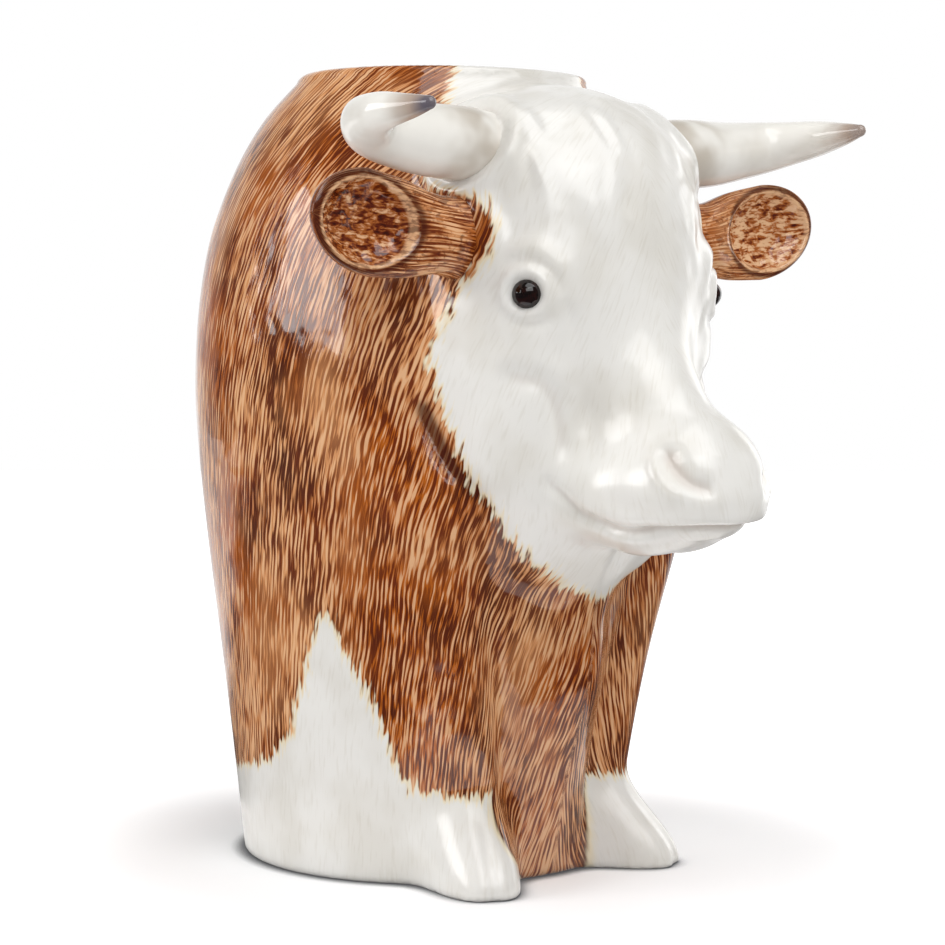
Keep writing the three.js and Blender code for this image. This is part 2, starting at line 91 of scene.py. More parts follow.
# Masses of the head, from the eye line: place, half sizes and tilt in degrees
EYE_LINE = np.array((0, -51.5, 155))
ROUND_MASSES = (
    ((0, 40, -20), (27, 20, 38), 0),
    ((0, 27, 26), (38, 33, 29), 0),
    ((0, 14, 8), (34, 25, 33), -4),
    ((27, 23, 34), (14.5, 14, 14), 0),
    ((25.5, 8, 0.5), (10.5, 10, 11), 0),
    ((27, 26, -8), (15.5, 19, 26), 0),
    ((21, 18, -28), (17, 20, 25), 20),
    ((0, -21.8, -47.5), (20, 17, 11.5), 0),
    ((0, -28.3, -42), (14, 9, 8), 35),
    ((0, -27.5, -53), (14.5, 12.5, 5), 0),
    ((0, -13.5, -57.5), (12, 9.5, 5), 0),
    ((9, 20, -53), (22, 20, 23), 0),
)
# Long masses: both ends and the radius at each
LONG_MASSES = (
    ((0, 12, -4), (0, -16.5, -40), (19.5, 13.5)),
    ((20, 18, -40), (8, -12, -54), (15, 8.5)),
    ((0, 16, -55), (0, 18.5, -76), (14, 6.5)),
)
MASS_BLEND = 11
NECK_BLEND = 7

# Room that the CAD solids swell by to close their seams, and the voxel of the first skin over them
SEAM_FILL = 0.25
VOXEL = 1.3
SKIN_DEPTH = 3.8
INNER_DEPTH = 1.4
FLOOR_TOP = 16
HEAD_ROOM = {"side": 60, "back": 22, "bottom": 62}

# The dome round each ear's stalk, which only the glazed skin has
EAR_DOME = ((36, 20.5, 14), (5.5, 12.5, 14), 0)
DOME_BLEND = 4

# Steps of the search for the skin, and how the skin is evened
SLOPE_STEP = 0.05
LONGEST_STEP = 1.5
RELAXATION = 0.6
WALL_LEAN = 0.7
GROUND_HEIGHT = 0.4


def through(places, values):
    """A smooth curve through places and values, whose slope at each is the mean of the slopes beside it."""
    places, values = np.asarray(places, float), np.asarray(values, float)
    slopes = np.diff(values) / np.diff(places)
    tangents = np.concatenate((slopes[:1], (slopes[1:] + slopes[:-1]) / 2, slopes[-1:]))

    def curve(x):
        x = np.clip(x, places[0], places[-1])
        k = np.clip(np.searchsorted(places, x, side="right") - 1, 0, len(places) - 2)
        step = places[k + 1] - places[k]
        t = (x - places[k]) / step
        start = values[k] * (1 + 2 * t) * (1 - t) ** 2 + tangents[k] * step * t * (1 - t) ** 2
        end = values[k + 1] * t**2 * (3 - 2 * t) - tangents[k + 1] * step * t**2 * (1 - t)
        return start + end

    return curve


def smoothstep(x, low, high):
    t = np.clip((x - low) / (high - low), 0, 1)
    return t * t * (3 - 2 * t)


def swelling(offset, half):
    return np.exp(-((offset / half) ** 2))


def unit(vectors):
    return vectors / np.maximum(np.linalg.norm(vectors, axis=-1, keepdims=True), 1e-9)


def folded(points):
    """The same points on the bull's left."""
    return np.abs(points * (1, 0, 0)) + points * (0, 1, 1)


side_reach, back_reach, front_reach, squareness = (through(STATIONS[:, 0], v) for v in STATIONS.T[1:])
axis_at = through(AXIS_PLACES, AXIS_VALUES)


def body_reach(turn, height):
    """Reach of the body from its axis at an angle from the front, in radians, and a height."""
    in_front = np.cos(turn) > 0
    power = np.where(in_front, squareness(height), 2)
    across = np.abs(np.sin(turn)) / side_reach(height)
    along = np.abs(np.cos(turn)) / np.where(in_front, front_reach(height), back_reach(height))
    plain = (across**power + along**power) ** (-1 / power)
    angle = np.degrees(np.abs(turn))
    share = np.clip(height / LEG_RISE, 0, 1) ** LEG_BEND
    leg_angle = HOOF_ANGLE + (SHOULDER_ANGLE - HOOF_ANGLE) * share
    leg = LEG_REACH[0] + (LEG_REACH[1] - LEG_REACH[0]) * share
    leg = leg * (1 - smoothstep(height, LEG_RISE, LEG_TOP))
    hoof = HOOF_REACH * (1 - smoothstep(height, 0, HOOF_HEIGHT))
    cleft = CLEFT["depth"] * (1 - smoothstep(height, CLEFT["full"], HOOF_HEIGHT))
    crease = CREASE["depth"] * (1 - smoothstep(height, CREASE["full"], CREASE["gone"]))
    keel = KEEL["reach"] * swelling(height - KEEL["middle"], KEEL["half_height"])
    return (
        plain
        + leg * swelling(angle - leg_angle, LEG_HALF_ANGLE)
        + hoof * np.exp(-np.abs((angle - HOOF_ANGLE) / HOOF_HALF_ANGLE) ** 3)
        - cleft * swelling(angle - HOOF_ANGLE, CLEFT["half_angle"])
        - crease * swelling(angle - leg_angle + LEG_HALF_ANGLE, CREASE["half_angle"])
        + keel * swelling(angle, KEEL["half_angle"])
    )


def body_slope(turn, height):
    """How fast the body's reach grows with the height."""
    return (body_reach(turn, height + 1) - body_reach(turn, height - 1)) / 2


def body_chart(points):
    """Angle from the front, in radians, distance from the axis, and height up to the lip."""
    ahead = axis_at(points[:, 2]) - points[:, 1]
    return np.arctan2(points[:, 0], ahead), np.hypot(points[:, 0], ahead), np.clip(points[:, 2], 0, LIP)


def body_field(points):
    """Distance from the outside of the body, below zero inside."""
    turn, distance, height = body_chart(points)
    low = np.clip(FOOT_ROUND - height, 0, FOOT_ROUND)
    tuck = FOOT_ROUND - np.sqrt(np.clip(FOOT_ROUND**2 - low**2, 0, None))
    return (distance - body_reach(turn, height) + tuck) / np.hypot(1, body_slope(turn, height))


def ellipsoid_field(points, place, half, tilt):
    cosine, sine = math.cos(math.radians(tilt)), math.sin(math.radians(tilt))
    half = np.asarray(half, float)
    x, y, z = (folded(points) - place).T
    offset = np.stack((x, y * cosine + z * sine, z * cosine - y * sine), 1)
    share = np.linalg.norm(offset / half, axis=1)
    steepness = np.linalg.norm(offset / half**2, axis=1)
    return share * (share - 1) / np.maximum(steepness, 1e-9)


def from_line(points, start, end):
    """Distance of points from a line between two ends, and where along it, from zero to one."""
    line = np.subtract(end, start)
    share = np.clip((points - start) @ line / (line @ line), 0, 1)
    return np.linalg.norm(points - start - share[:, None] * line, axis=1), share


def bar_field(points, start, end, radii):
    gap, share = from_line(folded(points), start, end)
    return gap - radii[0] - (radii[1] - radii[0]) * share


def blended(first, second, fillet):
    overlap = np.clip(0.5 + 0.5 * (second - first) / fillet, 0, 1)
    return second + (first - second) * overlap - fillet * overlap * (1 - overlap)


def head_field(points):
    """Distance from the head's masses, joined with fillets."""
    local = points - EYE_LINE
    field = ellipsoid_field(local, *ROUND_MASSES[0])
    for mass in ROUND_MASSES[1:]:
        field = blended(field, ellipsoid_field(local, *mass), MASS_BLEND)
    for mass in LONG_MASSES:
        field = blended(field, bar_field(local, *mass), MASS_BLEND)
    return field


def casting_field(points):
    """Distance from the glazed outside of body and head as one."""
    field = body_field(points)
    near = (np.abs(points[:, 0]) < HEAD_ROOM["side"]) & (points[:, 1] < HEAD_ROOM["back"])
    near &= points[:, 2] > HEAD_ROOM["bottom"]
    domes = ellipsoid_field(points[near] - EYE_LINE, *EAR_DOME)
    head = blended(head_field(points[near]), domes, DOME_BLEND)
    field[near] = blended(field[near], head, NECK_BLEND)
    return field


def lip_field(points):
    """Distance from the rounded lip of the rim."""
    turn, distance, _ = body_chart(points)
    lip = np.full(len(points), float(LIP))
    half = WALL / 2 * np.hypot(1, body_slope(turn, lip))
    middle = body_reach(turn, lip) - half
    return (np.hypot((distance - middle) / half, (points[:, 2] - LIP) / (WALL / 2)) - 1) * WALL / 2


def inner_field(points):
    """Distance from the inside of the body's wall."""
    turn, distance, height = body_chart(points)
    lean = np.hypot(1, np.clip(body_slope(turn, height), -WALL_LEAN, WALL_LEAN))
    return (body_reach(turn, height) - WALL * lean - distance) / lean


def slope_of(field, points):
    """Gradient of a field by central differences."""
    axes = np.eye(3) * SLOPE_STEP
    return np.stack([(field(points + a) - field(points - a)) / (2 * SLOPE_STEP) for a in axes], 1)


def settle(field, points, rounds):
    """Moves points onto the skin of a field along its gradient."""
    points = points.copy()
    for _ in range(rounds):
        gradient = slope_of(field, points)
        steepness = np.maximum((gradient**2).sum(1), 0.05)
        step = np.clip(field(points) / steepness, -LONGEST_STEP, LONGEST_STEP)
        points -= gradient * step[:, None]
    return points


def sides_of(quads):
    """Both ends of each quad's four sides."""
    return np.sort(np.stack([quads[:, [k, (k + 1) % 4]] for k in range(4)], 1), axis=2)


def edges_of(quads):
    return np.unique(sides_of(quads).reshape(-1, 2), axis=0)


def point_normals(points, quads):
    """Normal at each point, as the mean of its faces' normals."""
    faces = np.cross(points[quads[:, 2]] - points[quads[:, 0]], points[quads[:, 3]] - points[quads[:, 1]])
    total = np.zeros_like(points)
    for k in range(4):
        for axis in range(3):
            total[:, axis] += np.bincount(quads[:, k], faces[:, axis], len(points))
    return unit(total)


def kept_part(quads, chosen, *values):
    """The chosen quads with their corners numbered afresh, and each value cut down to those corners."""
    used, corners = np.unique(quads[chosen], return_inverse=True)
    return corners.reshape(-1, 4), used, [value[used] for value in values]


def quartered(quads, *values):
    """Every quad cut in four, which points are on the border, and each value averaged at the new points."""
    count = len(values[0])
    sides = sides_of(quads).reshape(-1, 2)
    edges, place, uses = np.unique(sides, axis=0, return_inverse=True, return_counts=True)
    middle = count + place.reshape(-1, 4)
    centre = count + len(edges) + np.arange(len(quads))
    finer = [np.stack((quads[:, k], middle[:, k], centre, middle[:, k - 1]), 1) for k in range(4)]
    grown = [np.concatenate((v, (v[edges[:, 0]] + v[edges[:, 1]]) / 2, v[quads].mean(1))) for v in values]
    border = np.zeros(len(grown[0]), bool)
    border[edges[uses == 1]] = True
    border[count : count + len(edges)] = uses == 1
    return np.concatenate(finer), border, grown


def mesh_of(name, points, quads, normals=None, **attributes):
    """A smooth mesh with its point attributes."""
    mesh = bpy.data.meshes.new(name)
    mesh.from_pydata(((points + (0, FORWARD_SHIFT, 0)) * MM).tolist(), [], quads.tolist())
    mesh.polygons.foreach_set("use_smooth", np.ones(len(mesh.polygons), bool))
    for key, value in attributes.items():
        kind, field = ("FLOAT_VECTOR", "vector") if value.ndim == 2 else ("FLOAT", "value")
        layer = mesh.attributes.new(key, kind, "POINT")
        layer.data.foreach_set(field, value.astype(np.float32).ravel())
    if normals is not None:
        mesh.normals_split_custom_set_from_vertices(normals.tolist())
    mesh.update()
    return mesh


def new_object(name, data):
    made = bpy.data.objects.new(name, data)
    scene.collection.objects.link(made)
    return made


def put(mesh, material, node):
    """Adds a piece that rides on the vase and stands for a CAD node."""
    piece = new_object(mesh.name, mesh)
    mesh.materials.append(material)
    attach(piece, "root")
    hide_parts(node)


def even_skin(nodes):
    """Points and quads of one even skin over CAD solids, whose copies are swelled so that they meet."""
    whole = bmesh.new()
    for node in nodes:
        shape = bmesh.new()
        shape.from_mesh(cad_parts[node].data)
        bmesh.ops.remove_doubles(shape, verts=shape.verts, dist=1e-3 * MM)
        bmesh.ops.recalc_face_normals(shape, faces=shape.faces)
        shape.normal_update()
        for vertex in shape.verts:
            vertex.co += vertex.normal * SEAM_FILL * MM
        part = bpy.data.meshes.new(node)
        shape.to_mesh(part)
        shape.free()
        whole.from_mesh(part)
        bpy.data.meshes.remove(part)
    mesh = bpy.data.meshes.new("solids")
    whole.to_mesh(mesh)
    whole.free()
    holder = new_object("solids", mesh)
    remesh = holder.modifiers.new("even", "REMESH")
    remesh.mode = "VOXEL"
    remesh.voxel_size = VOXEL * MM
    even = bpy.data.meshes.new_from_object(holder.evaluated_get(bpy.context.evaluated_depsgraph_get()))
    bpy.data.objects.remove(holder)
    flat = np.empty(len(even.vertices) * 3, np.float32)
    even.vertices.foreach_get("co", flat)
    corners = np.empty(len(even.loops), np.int32)
    even.loops.foreach_get("vertex_index", corners)
    bpy.data.meshes.remove(mesh)
    bpy.data.meshes.remove(even)
    return flat.reshape(-1, 3).astype(float) / MM - (0, FORWARD_SHIFT, 0), corners.reshape(-1, 4)


def neighbour_sum(values, edges):
    """Sum of the values at the neighbours of each point."""
    first, second = edges.T
    return np.bincount(first, values[second], len(values)) + np.bincount(second, values[first], len(values))


def relaxed(points, edges, movable, rounds):
    """Evens out the movable points by the mean of their neighbours."""
    points = points.copy()
    count = np.maximum(np.bincount(edges.ravel(), minlength=len(points)), 1)[:, None]
    for _ in range(rounds):
        mean = np.stack([neighbour_sum(points[:, axis], edges) for axis in range(3)], 1) / count
        points[movable] += RELAXATION * (mean - points)[movable]
    return points


def evened(values, edges, rounds):
    """The mean of each value and its neighbours, some rounds over."""
    count = np.bincount(edges.ravel(), minlength=len(values)) + 1
    for _ in range(rounds):
        values = (values + neighbour_sum(values, edges)) / count
    return values


def casting_skin():
    """The skin of body and head as one: points, quads, and which points lie on the outside."""
    points, quads = even_skin(("vase_body", "head"))
    edges = edges_of(quads)
    field = casting_field(points)
    turn, distance, _ = body_chart(points)
    lip_middle = body_reach(turn, np.full(len(points), float(LIP))) - WALL / 2
    lip = (points[:, 2] > LIP) & (np.abs(distance - lip_middle) < WALL)
    inside = np.abs(inner_field(points)) < INNER_DEPTH
    outer = (field > -SKIN_DEPTH) & ~lip & (distance > lip_middle - WALL) & ~(inside & (field < -WALL / 2))
    inner = inside & ~lip & ~outer & (points[:, 2] > FLOOR_TOP)
    ground = (points[:, 2] < VOXEL / 2) & outer
    for rounds in (4, 2):
        for shape, chosen in ((casting_field, outer), (lip_field, lip), (inner_field, inner)):
            points[chosen] = settle(shape, points[chosen], rounds)
        if rounds == 4:
            points = relaxed(points, edges, outer | lip | inner, 2)
    points[:, 2] = np.where(ground, np.minimum(points[:, 2], GROUND_HEIGHT), points[:, 2])
    points[:, 2] = np.maximum(points[:, 2], 0)
    return points, quads, outer | lip


# Horns, from the eye line on the bull's left: centre line from root to tip
HORN_PATH = np.array(
    ((28, 20.5, 36.5), (40, 20, 38), (57, 20, 39), (71, 16.5, 41), (78, 4.5, 43), (77, -12.5, 44.5)), float
)

# Folds of the face, from the eye line on the bull's left: places, the heights at the first and the last of
# them, which are below zero for a groove, and half the width
FOLDS = (
    (((28.5, 1, -45), (26.8, -1, -47.8), (25.4, -2.5, -49.5), (23.6, -4.3, -52), (21.5, -6.3, -55),
     (19.3, -12, -57.6), (17, -20, -59), (15.3, -27, -58.3), (12.5, -33.2, -58.2), (7, -37, -58.2),
     (0, -38.2, -58.2)), (-0.8, -2.9), 1.7),
    (((24, -8, -51), (20.5, -16, -54.6), (17.4, -26, -55.2), (11, -35.6, -54.8), (0, -40.4, -54.6)),
     (0.6, 0.6), 2.2),
    (((20, -10, -60.4), (15, -22, -61), (9, -30, -60.6), (0, -33, -60.4)), (0.4, 0.4), 2.2),
    (((13, -31, -62), (8, -36, -61.5), (0, -38, -61.5)), (-1.6, -1.8), 3.6),
    (((38, 8, -19), (33.7, 3.3, -20.7), (28.9, -0.6, -22.4), (25.5, -2.1, -28.7), (24.5, -2.8, -36.2),
     (24.8, -3, -43)), (-1.3, -1.1), 2.8),
    (((39, 9, -14), (34.5, 1, -15.5), (29, -4, -18), (24, -6.5, -25)), (1.1, 1.1), 3.4),
    (((36.6, 8, 6.4), (34.6, 3.4, 8.6), (31.5, -0.8, 8.2), (28.4, -4, 4.6), (26.4, -4.9, -0.6)),
     (-0.8, -0.8), 1.4),
    (((37, 7, 10.5), (33.5, 1.5, 12.5), (29, -4, 10.5), (25, -8, 4)), (1, 1), 3),
    (((38, 7.5, -3), (35, 2.8, -6.6), (31, -1, -7.2), (27, -4, -5)), (-0.7, -0.7), 1.4),
    (((39, 8.5, -6.5), (35.5, 2.5, -10.5), (30, -3, -11), (25, -6.5, -8)), (0.6, 0.6), 2.4),
    (((25.9, -4.7, -1.2), (23.8, -5.5, -6), (22.6, -6, -12)), (-0.6, -0.6), 1.8),
    (((46.1, 28, -25.3), (44.7, 26.9, -30.4), (43.3, 25.4, -34.7), (40.5, 22.1, -43), (38.4, 19.9, -46.8),
     (35.9, 17.7, -50.6), (32.4, 15.1, -55)), (-1.8, -1.3), 2.3),
    (((49, 32, -28), (47, 30, -38), (43.5, 26, -47), (38, 21, -54)), (0.5, 0.5), 3.6),
)
# The nostril: its hollow, its raised wing, and the pad inside it
NOSTRIL = (
    (((15.2, -28.4, -36), (15.9, -31.8, -39.8), (15.4, -34.6, -43.2), (13.6, -37.1, -45.8),
     (11.1, -39.1, -46.8), (8, -40.2, -46)), (-2.3, -1.5), 2.7),
    (((16.9, -26.9, -37), (18.6, -28.2, -41.6), (19.2, -30.9, -45.6), (18, -33.8, -48.4),
     (15.3, -36.8, -50.2)), (1.3, 0.5), 1.6),
    (((11, -36, -38.2), (6, -38.6, -39.8), (2, -40, -42)), (0.5, 0.5), 3.4),
)
# Round each horn's root: its crease and the collar of skin outside it, as radius, half width and height
HORN_CREASE = (10, 0.9, -1.4)
HORN_COLLAR = (12, 1.7, 0.9)
FOLD_STEPS = 6
FOLD_FADE = (-0.2, 0.9)
SMOOTHING = 2
EYE_PLACE = np.array((34.5, 0.9, 0.4))
EYE_OUTLOOK = np.array((0.86, -0.5, 0.06)) / math.hypot(0.86, 0.5, 0.06)
EYE_RADIUS = 3.9
EYE_SINK = 2.5
EYE_PIT = 1.3
LID_ROLL = {"radius": 5.6, "half_width": 1.3, "height": 0.6}

# Curly hair on the poll and temples: a gentle swell of the glaze, made of waves
CURL_LENGTH = 10.5
CURL_HEIGHT = 0.24
CURL_WARP = {"length": 21, "reach": 2.2}
WAVES = 14
# How far back and down the relief reaches
RELIEF_BACK = 6
RELIEF_BOTTOM = 75

# The face: the part of the skin that is made finer for its relief
FACE_BACK = -20
FACE_BOTTOM = 70

# Hair: it flows away from the poll and the face, down the sides, and outwards from the keel of the chest
POLL = np.array((0, -32, 207))
FACE_MIDDLE = np.array((0, -60, 130))
FACE_RADIUS = 35
FACE_PULL = 0.55
FACE_PULL_REACH = 34
DOWN_PULL = (0.3, 1.15)
DOWN_HEIGHTS = (208, 165)
CHEST_PULL = 0.95
CHEST_HEIGHT = 104
CHEST_FADE = 30
CHEST_HALF_WIDTH = 24
# The hair round the ear's root lies away from it
EAR_POLL = np.array((38, -31, 170))
EAR_ROOT_RADIUS = 10
EAR_PULL = 2
EAR_PULL_REACH = 8
# Rounds of laying out the hair coordinates, and what keeps the two sides' strokes apart
LAYOUT_ROUNDS = 400
SIDE_SHIFT = 9.3

# Edge of the white face: heights, and angle from the front in degrees
FACE_EDGE_HEIGHTS = (
    74, 76.2, 82.2, 90.1, 99.3, 108.2, 118.4, 128.5, 140, 151.2, 161.3, 167, 172.5, 178.9, 183, 196, 209.6,
)
FACE_EDGE_ANGLES = (
    -4, 2.3, 12.1, 21.1, 26.5, 31.7, 34.7, 37.7, 39.9, 36, 31.8, 29.3, 28, 31.5, 39.9, 37.6, 36.2,
)
# Lower edge of the brown coat: angle from the front in degrees, and heights
HEM_ANGLES = (0, 39.8, 45.3, 48.1, 53.4, 62.4, 67.5, 72.3, 77.9, 85.4, 92.1, 117, 180)
HEM_HEIGHTS = (26, 25.3, 27.1, 31.1, 44.3, 62.7, 71.7, 64.7, 50.8, 36.4, 31.5, 25.1, 23)
# Edge of the brown panel of the chest, down to the ground between the hooves: heights, and angles by side
PANEL_HEIGHTS = (0, 3, 9.4, 16, 25)
PANEL_RIGHT = (12, 15, 20.5, 23.6, 23.8)
PANEL_LEFT = (13.5, 13.6, 13.9, 14.6, 15)
PANEL_FOOT = 0.9
# Step for the slopes of these edges
EDGE_STEP = 0.5
# Where the edge of the brown is clean: heights and angles over which it turns into a fringe
CRISP_HEIGHTS = (19, 25)
CRISP_ANGLES = (24, 27)

face_edge_at = through(FACE_EDGE_HEIGHTS, FACE_EDGE_ANGLES)
hem_at = through(HEM_ANGLES, HEM_HEIGHTS)
panel_right_at = through(PANEL_HEIGHTS, PANEL_RIGHT)
panel_left_at = through(PANEL_HEIGHTS, PANEL_LEFT)

# Radius of a horn at its root and its tip, and how fast it narrows
HORN_RADII = (9.8, 1.8)
HORN_TAPER = 2
HORN_ROWS = 110
HORN_SIDES = 72
HORN_TIP_ROWS = 12
HORN_SWELL = {"height": 0.12, "length": 16}

# Ears, from the eye line: centre line, then half height and depth in front and behind at places across
EAR_ROOT = np.array((38, 20, 14.0))
EAR_TIP = np.array((89.5, 15.5, 19.5))
EAR_WIDEST = 70
EAR_SECTIONS = np.array(
    ((30, 11.5, 8.5, 12), (38, 11, 7.5, 11), (48, 10, 6.5, 9), (58, 12, 3.2, 8.5), (70, 13.2, 2.2, 8))
)
EAR_CUP_MIDDLE = 72
EAR_CUP_DEPTH = 7
EAR_RIM = 2.4
EAR_RIM_ROUND = 1.1
CUP_OUTSIDE = 2
EAR_ROWS = 110
EAR_SIDES = 140
EAR_START = 33
EAR_ROUND = 11
CUP_EDGE = (-0.6, 1.2)
CUP_SWELL = {"height": 0.3, "length": 6}

ear_height, ear_front, ear_back = (through(EAR_SECTIONS[:, 0], EAR_SECTIONS[:, k]) for k in (1, 2, 3))

EYE_RINGS = 26
EYE_SIDES = 56
CORNEA = {"half_width": 2.1, "height": 0.3}


def swell_along(points, path, heights, half):
    """A ridge or groove along a path, between two heights, fading at the ends off the middle plane."""
    path = np.asarray(path, float)
    finer = np.linspace(0, len(path) - 1, FOLD_STEPS * (len(path) - 1) + 1)
    path = np.stack([through(np.arange(len(path)), path[:, k])(finer) for k in range(3)], 1)
    nearest = np.full(len(points), 1e9)
    place = np.zeros(len(points))
    for k, (start, end) in enumerate(zip(path[:-1], path[1:])):
        gap, share = from_line(points, start, end)
        closer = gap < nearest
        nearest = np.where(closer, gap, nearest)
        place = np.where(closer, (k + share) / FOLD_STEPS, place)
    ends = (len(path) - 1) / FOLD_STEPS
    fade = smoothstep(place, *FOLD_FADE)
    if path[-1, 0] > 0:
        fade = fade * smoothstep(ends - place, *FOLD_FADE)
    return np.interp(place, (0, ends), heights) * fade * swelling(nearest, half)


def wavelets(points, length, seed):
    """A smooth, even swell in all directions, from minus one to one."""
    rng = np.random.default_rng(seed)
    directions = unit(rng.normal(size=(WAVES, 3))) * rng.uniform(0.75, 1.35, (WAVES, 1))
    phases = rng.uniform(0, 2 * np.pi, WAVES)
    return np.sin(points @ directions.T * (2 * np.pi / length) + phases).sum(1) / math.sqrt(WAVES)


def relief(points):
    """Height of the modelled detail above the smooth skin."""
    near = (points[:, 1] < RELIEF_BACK) & (points[:, 2] > RELIEF_BOTTOM)
    local = folded(points[near]) - EYE_LINE
    rise = sum(swell_along(local, *fold) for fold in FOLDS + NOSTRIL)
    offset = local - EYE_PLACE
    sideways = np.linalg.norm(offset - (offset @ EYE_OUTLOOK)[:, None] * EYE_OUTLOOK, axis=1)
    close = smoothstep(-np.linalg.norm(offset, axis=1), -14, -9)
    rise -= EYE_PIT * close * (1 - smoothstep(sideways, EYE_RADIUS - 0.6, EYE_RADIUS + 0.9))
    rise += LID_ROLL["height"] * close * swelling(sideways - LID_ROLL["radius"], LID_ROLL["half_width"])
    from_horn = np.hypot(local[:, 1] - HORN_PATH[1, 1], local[:, 2] - HORN_PATH[1, 2])
    for radius, half, height in (HORN_CREASE, HORN_COLLAR):
        rise += height * smoothstep(local[:, 0], 20, 28) * swelling(from_horn - radius, half)
    curly = smoothstep(local[:, 2], -4, 14) * smoothstep(-local[:, 1], -34, -14) * smoothstep(sideways, 6, 11)
    warp = np.stack([wavelets(points[near], CURL_WARP["length"], 3 + k) for k in range(3)], 1)
    warped = (points[near] + CURL_WARP["reach"] * warp) * (1, 1, 0.7)
    height = np.zeros(len(points))
    height[near] = rise + CURL_HEIGHT * curly * wavelets(warped, CURL_LENGTH, 11)
    return height


def hair_flow(points, normals):
    """Direction of the hair on the skin, on the bull's left."""
    beyond = np.clip(np.linalg.norm(points - FACE_MIDDLE, axis=1) - FACE_RADIUS, 0, None)
    chest = CHEST_PULL * (1 - smoothstep(points[:, 2], CHEST_HEIGHT - CHEST_FADE, CHEST_HEIGHT))
    chest *= (1 - smoothstep(points[:, 0], CHEST_HALF_WIDTH * 0.6, CHEST_HALF_WIDTH)) * (points[:, 1] < 0)
    from_ear = points - EAR_POLL
    near_ear = np.exp(-np.clip(np.linalg.norm(from_ear, axis=1) - EAR_ROOT_RADIUS, 0, None) / EAR_PULL_REACH)
    flow = unit(points - POLL)
    flow += FACE_PULL * np.exp(-beyond / FACE_PULL_REACH)[:, None] * unit(points - FACE_MIDDLE)
    flow += EAR_PULL * near_ear[:, None] * unit(from_ear)
    lower = smoothstep(-points[:, 2], -DOWN_HEIGHTS[0], -DOWN_HEIGHTS[1])
    flow[:, 2] -= DOWN_PULL[0] + (DOWN_PULL[1] - DOWN_PULL[0]) * lower
    flow[:, 0] += chest * points[:, 0] / (points[:, 0] + 2)
    flow -= (flow * normals).sum(1, keepdims=True) * normals
    return unit(flow)


def laid_out(points, edges, direction, start):
    """A coordinate that grows by one for each millimetre along a direction, by conjugate gradients."""
    first, second = edges.T
    target = ((points[second] - points[first]) * (direction[first] + direction[second]) / 2).sum(1)
    weight = 1 / np.maximum(((points[second] - points[first]) ** 2).sum(1), 0.05)
    count = len(points)
    degree = np.bincount(first, weight, count) + np.bincount(second, weight, count) + 1e-9

    def gathered(flux):
        return np.bincount(first, flux, count) - np.bincount(second, flux, count)

    def spread(value):
        return gathered(weight * (value[first] - value[second]))

    value = start.copy()
    rest = gathered(-weight * target) - spread(value)
    guess = rest / degree
    search = guess.copy()
    power = rest @ guess
    for _ in range(LAYOUT_ROUNDS):
        image = spread(search)
        step = power / (search @ image)
        value += step * search
        rest -= step * image
        guess = rest / degree
        power, last = rest @ guess, power
        search = guess + power / last * search
    return value


def hair_coordinates(points, quads, outer):
    """Places across and along the hair, in millimetres, and a shift for the side of the bull."""
    part, used, (skin,) = kept_part(quads, outer[quads].all(1), points)
    edges = edges_of(part)
    left = folded(skin)
    normals = point_normals(skin, part)
    side = np.where(skin[:, 0] < 0, -1.0, 1.0)
    normals[:, 0] *= side
    along = hair_flow(left, normals)
    down = laid_out(left, edges, along, -left[:, 2])
    round_about = laid_out(left, edges, np.cross(normals, along), -60 * body_chart(left)[0])
    hair = np.zeros((len(points), 3))
    hair[used] = np.stack((round_about, down, side * SIDE_SHIFT), 1)
    return hair


def curve_slope(curve, x):
    return (curve(x + EDGE_STEP) - curve(x - EDGE_STEP)) / (2 * EDGE_STEP)


def brown_depth(points):
    """Distance from the edge of the brown coat, above zero inside it."""
    turn, distance, _ = body_chart(points)
    height = points[:, 2]
    angle = np.degrees(np.abs(turn))
    from_face = np.radians(angle - face_edge_at(height)) * distance
    from_face /= np.hypot(1, np.radians(curve_slope(face_edge_at, height)) * distance)
    from_hem = height - hem_at(angle)
    from_hem /= np.hypot(1, curve_slope(hem_at, angle) / np.maximum(np.radians(1) * distance, 1e-3))
    panel_edge = np.where(turn < 0, panel_right_at(height), panel_left_at(height))
    from_panel = np.minimum(np.radians(panel_edge - angle) * distance, height + PANEL_FOOT)
    return np.minimum(from_face, np.maximum(from_hem, from_panel))


def crispness(points):
    """One where the edge of the brown is a clean line beside the hooves, and zero where it is a fringe."""
    angle = np.degrees(np.abs(body_chart(points)[0]))
    return (1 - smoothstep(points[:, 2], *CRISP_HEIGHTS)) * (1 - smoothstep(angle, *CRISP_ANGLES))


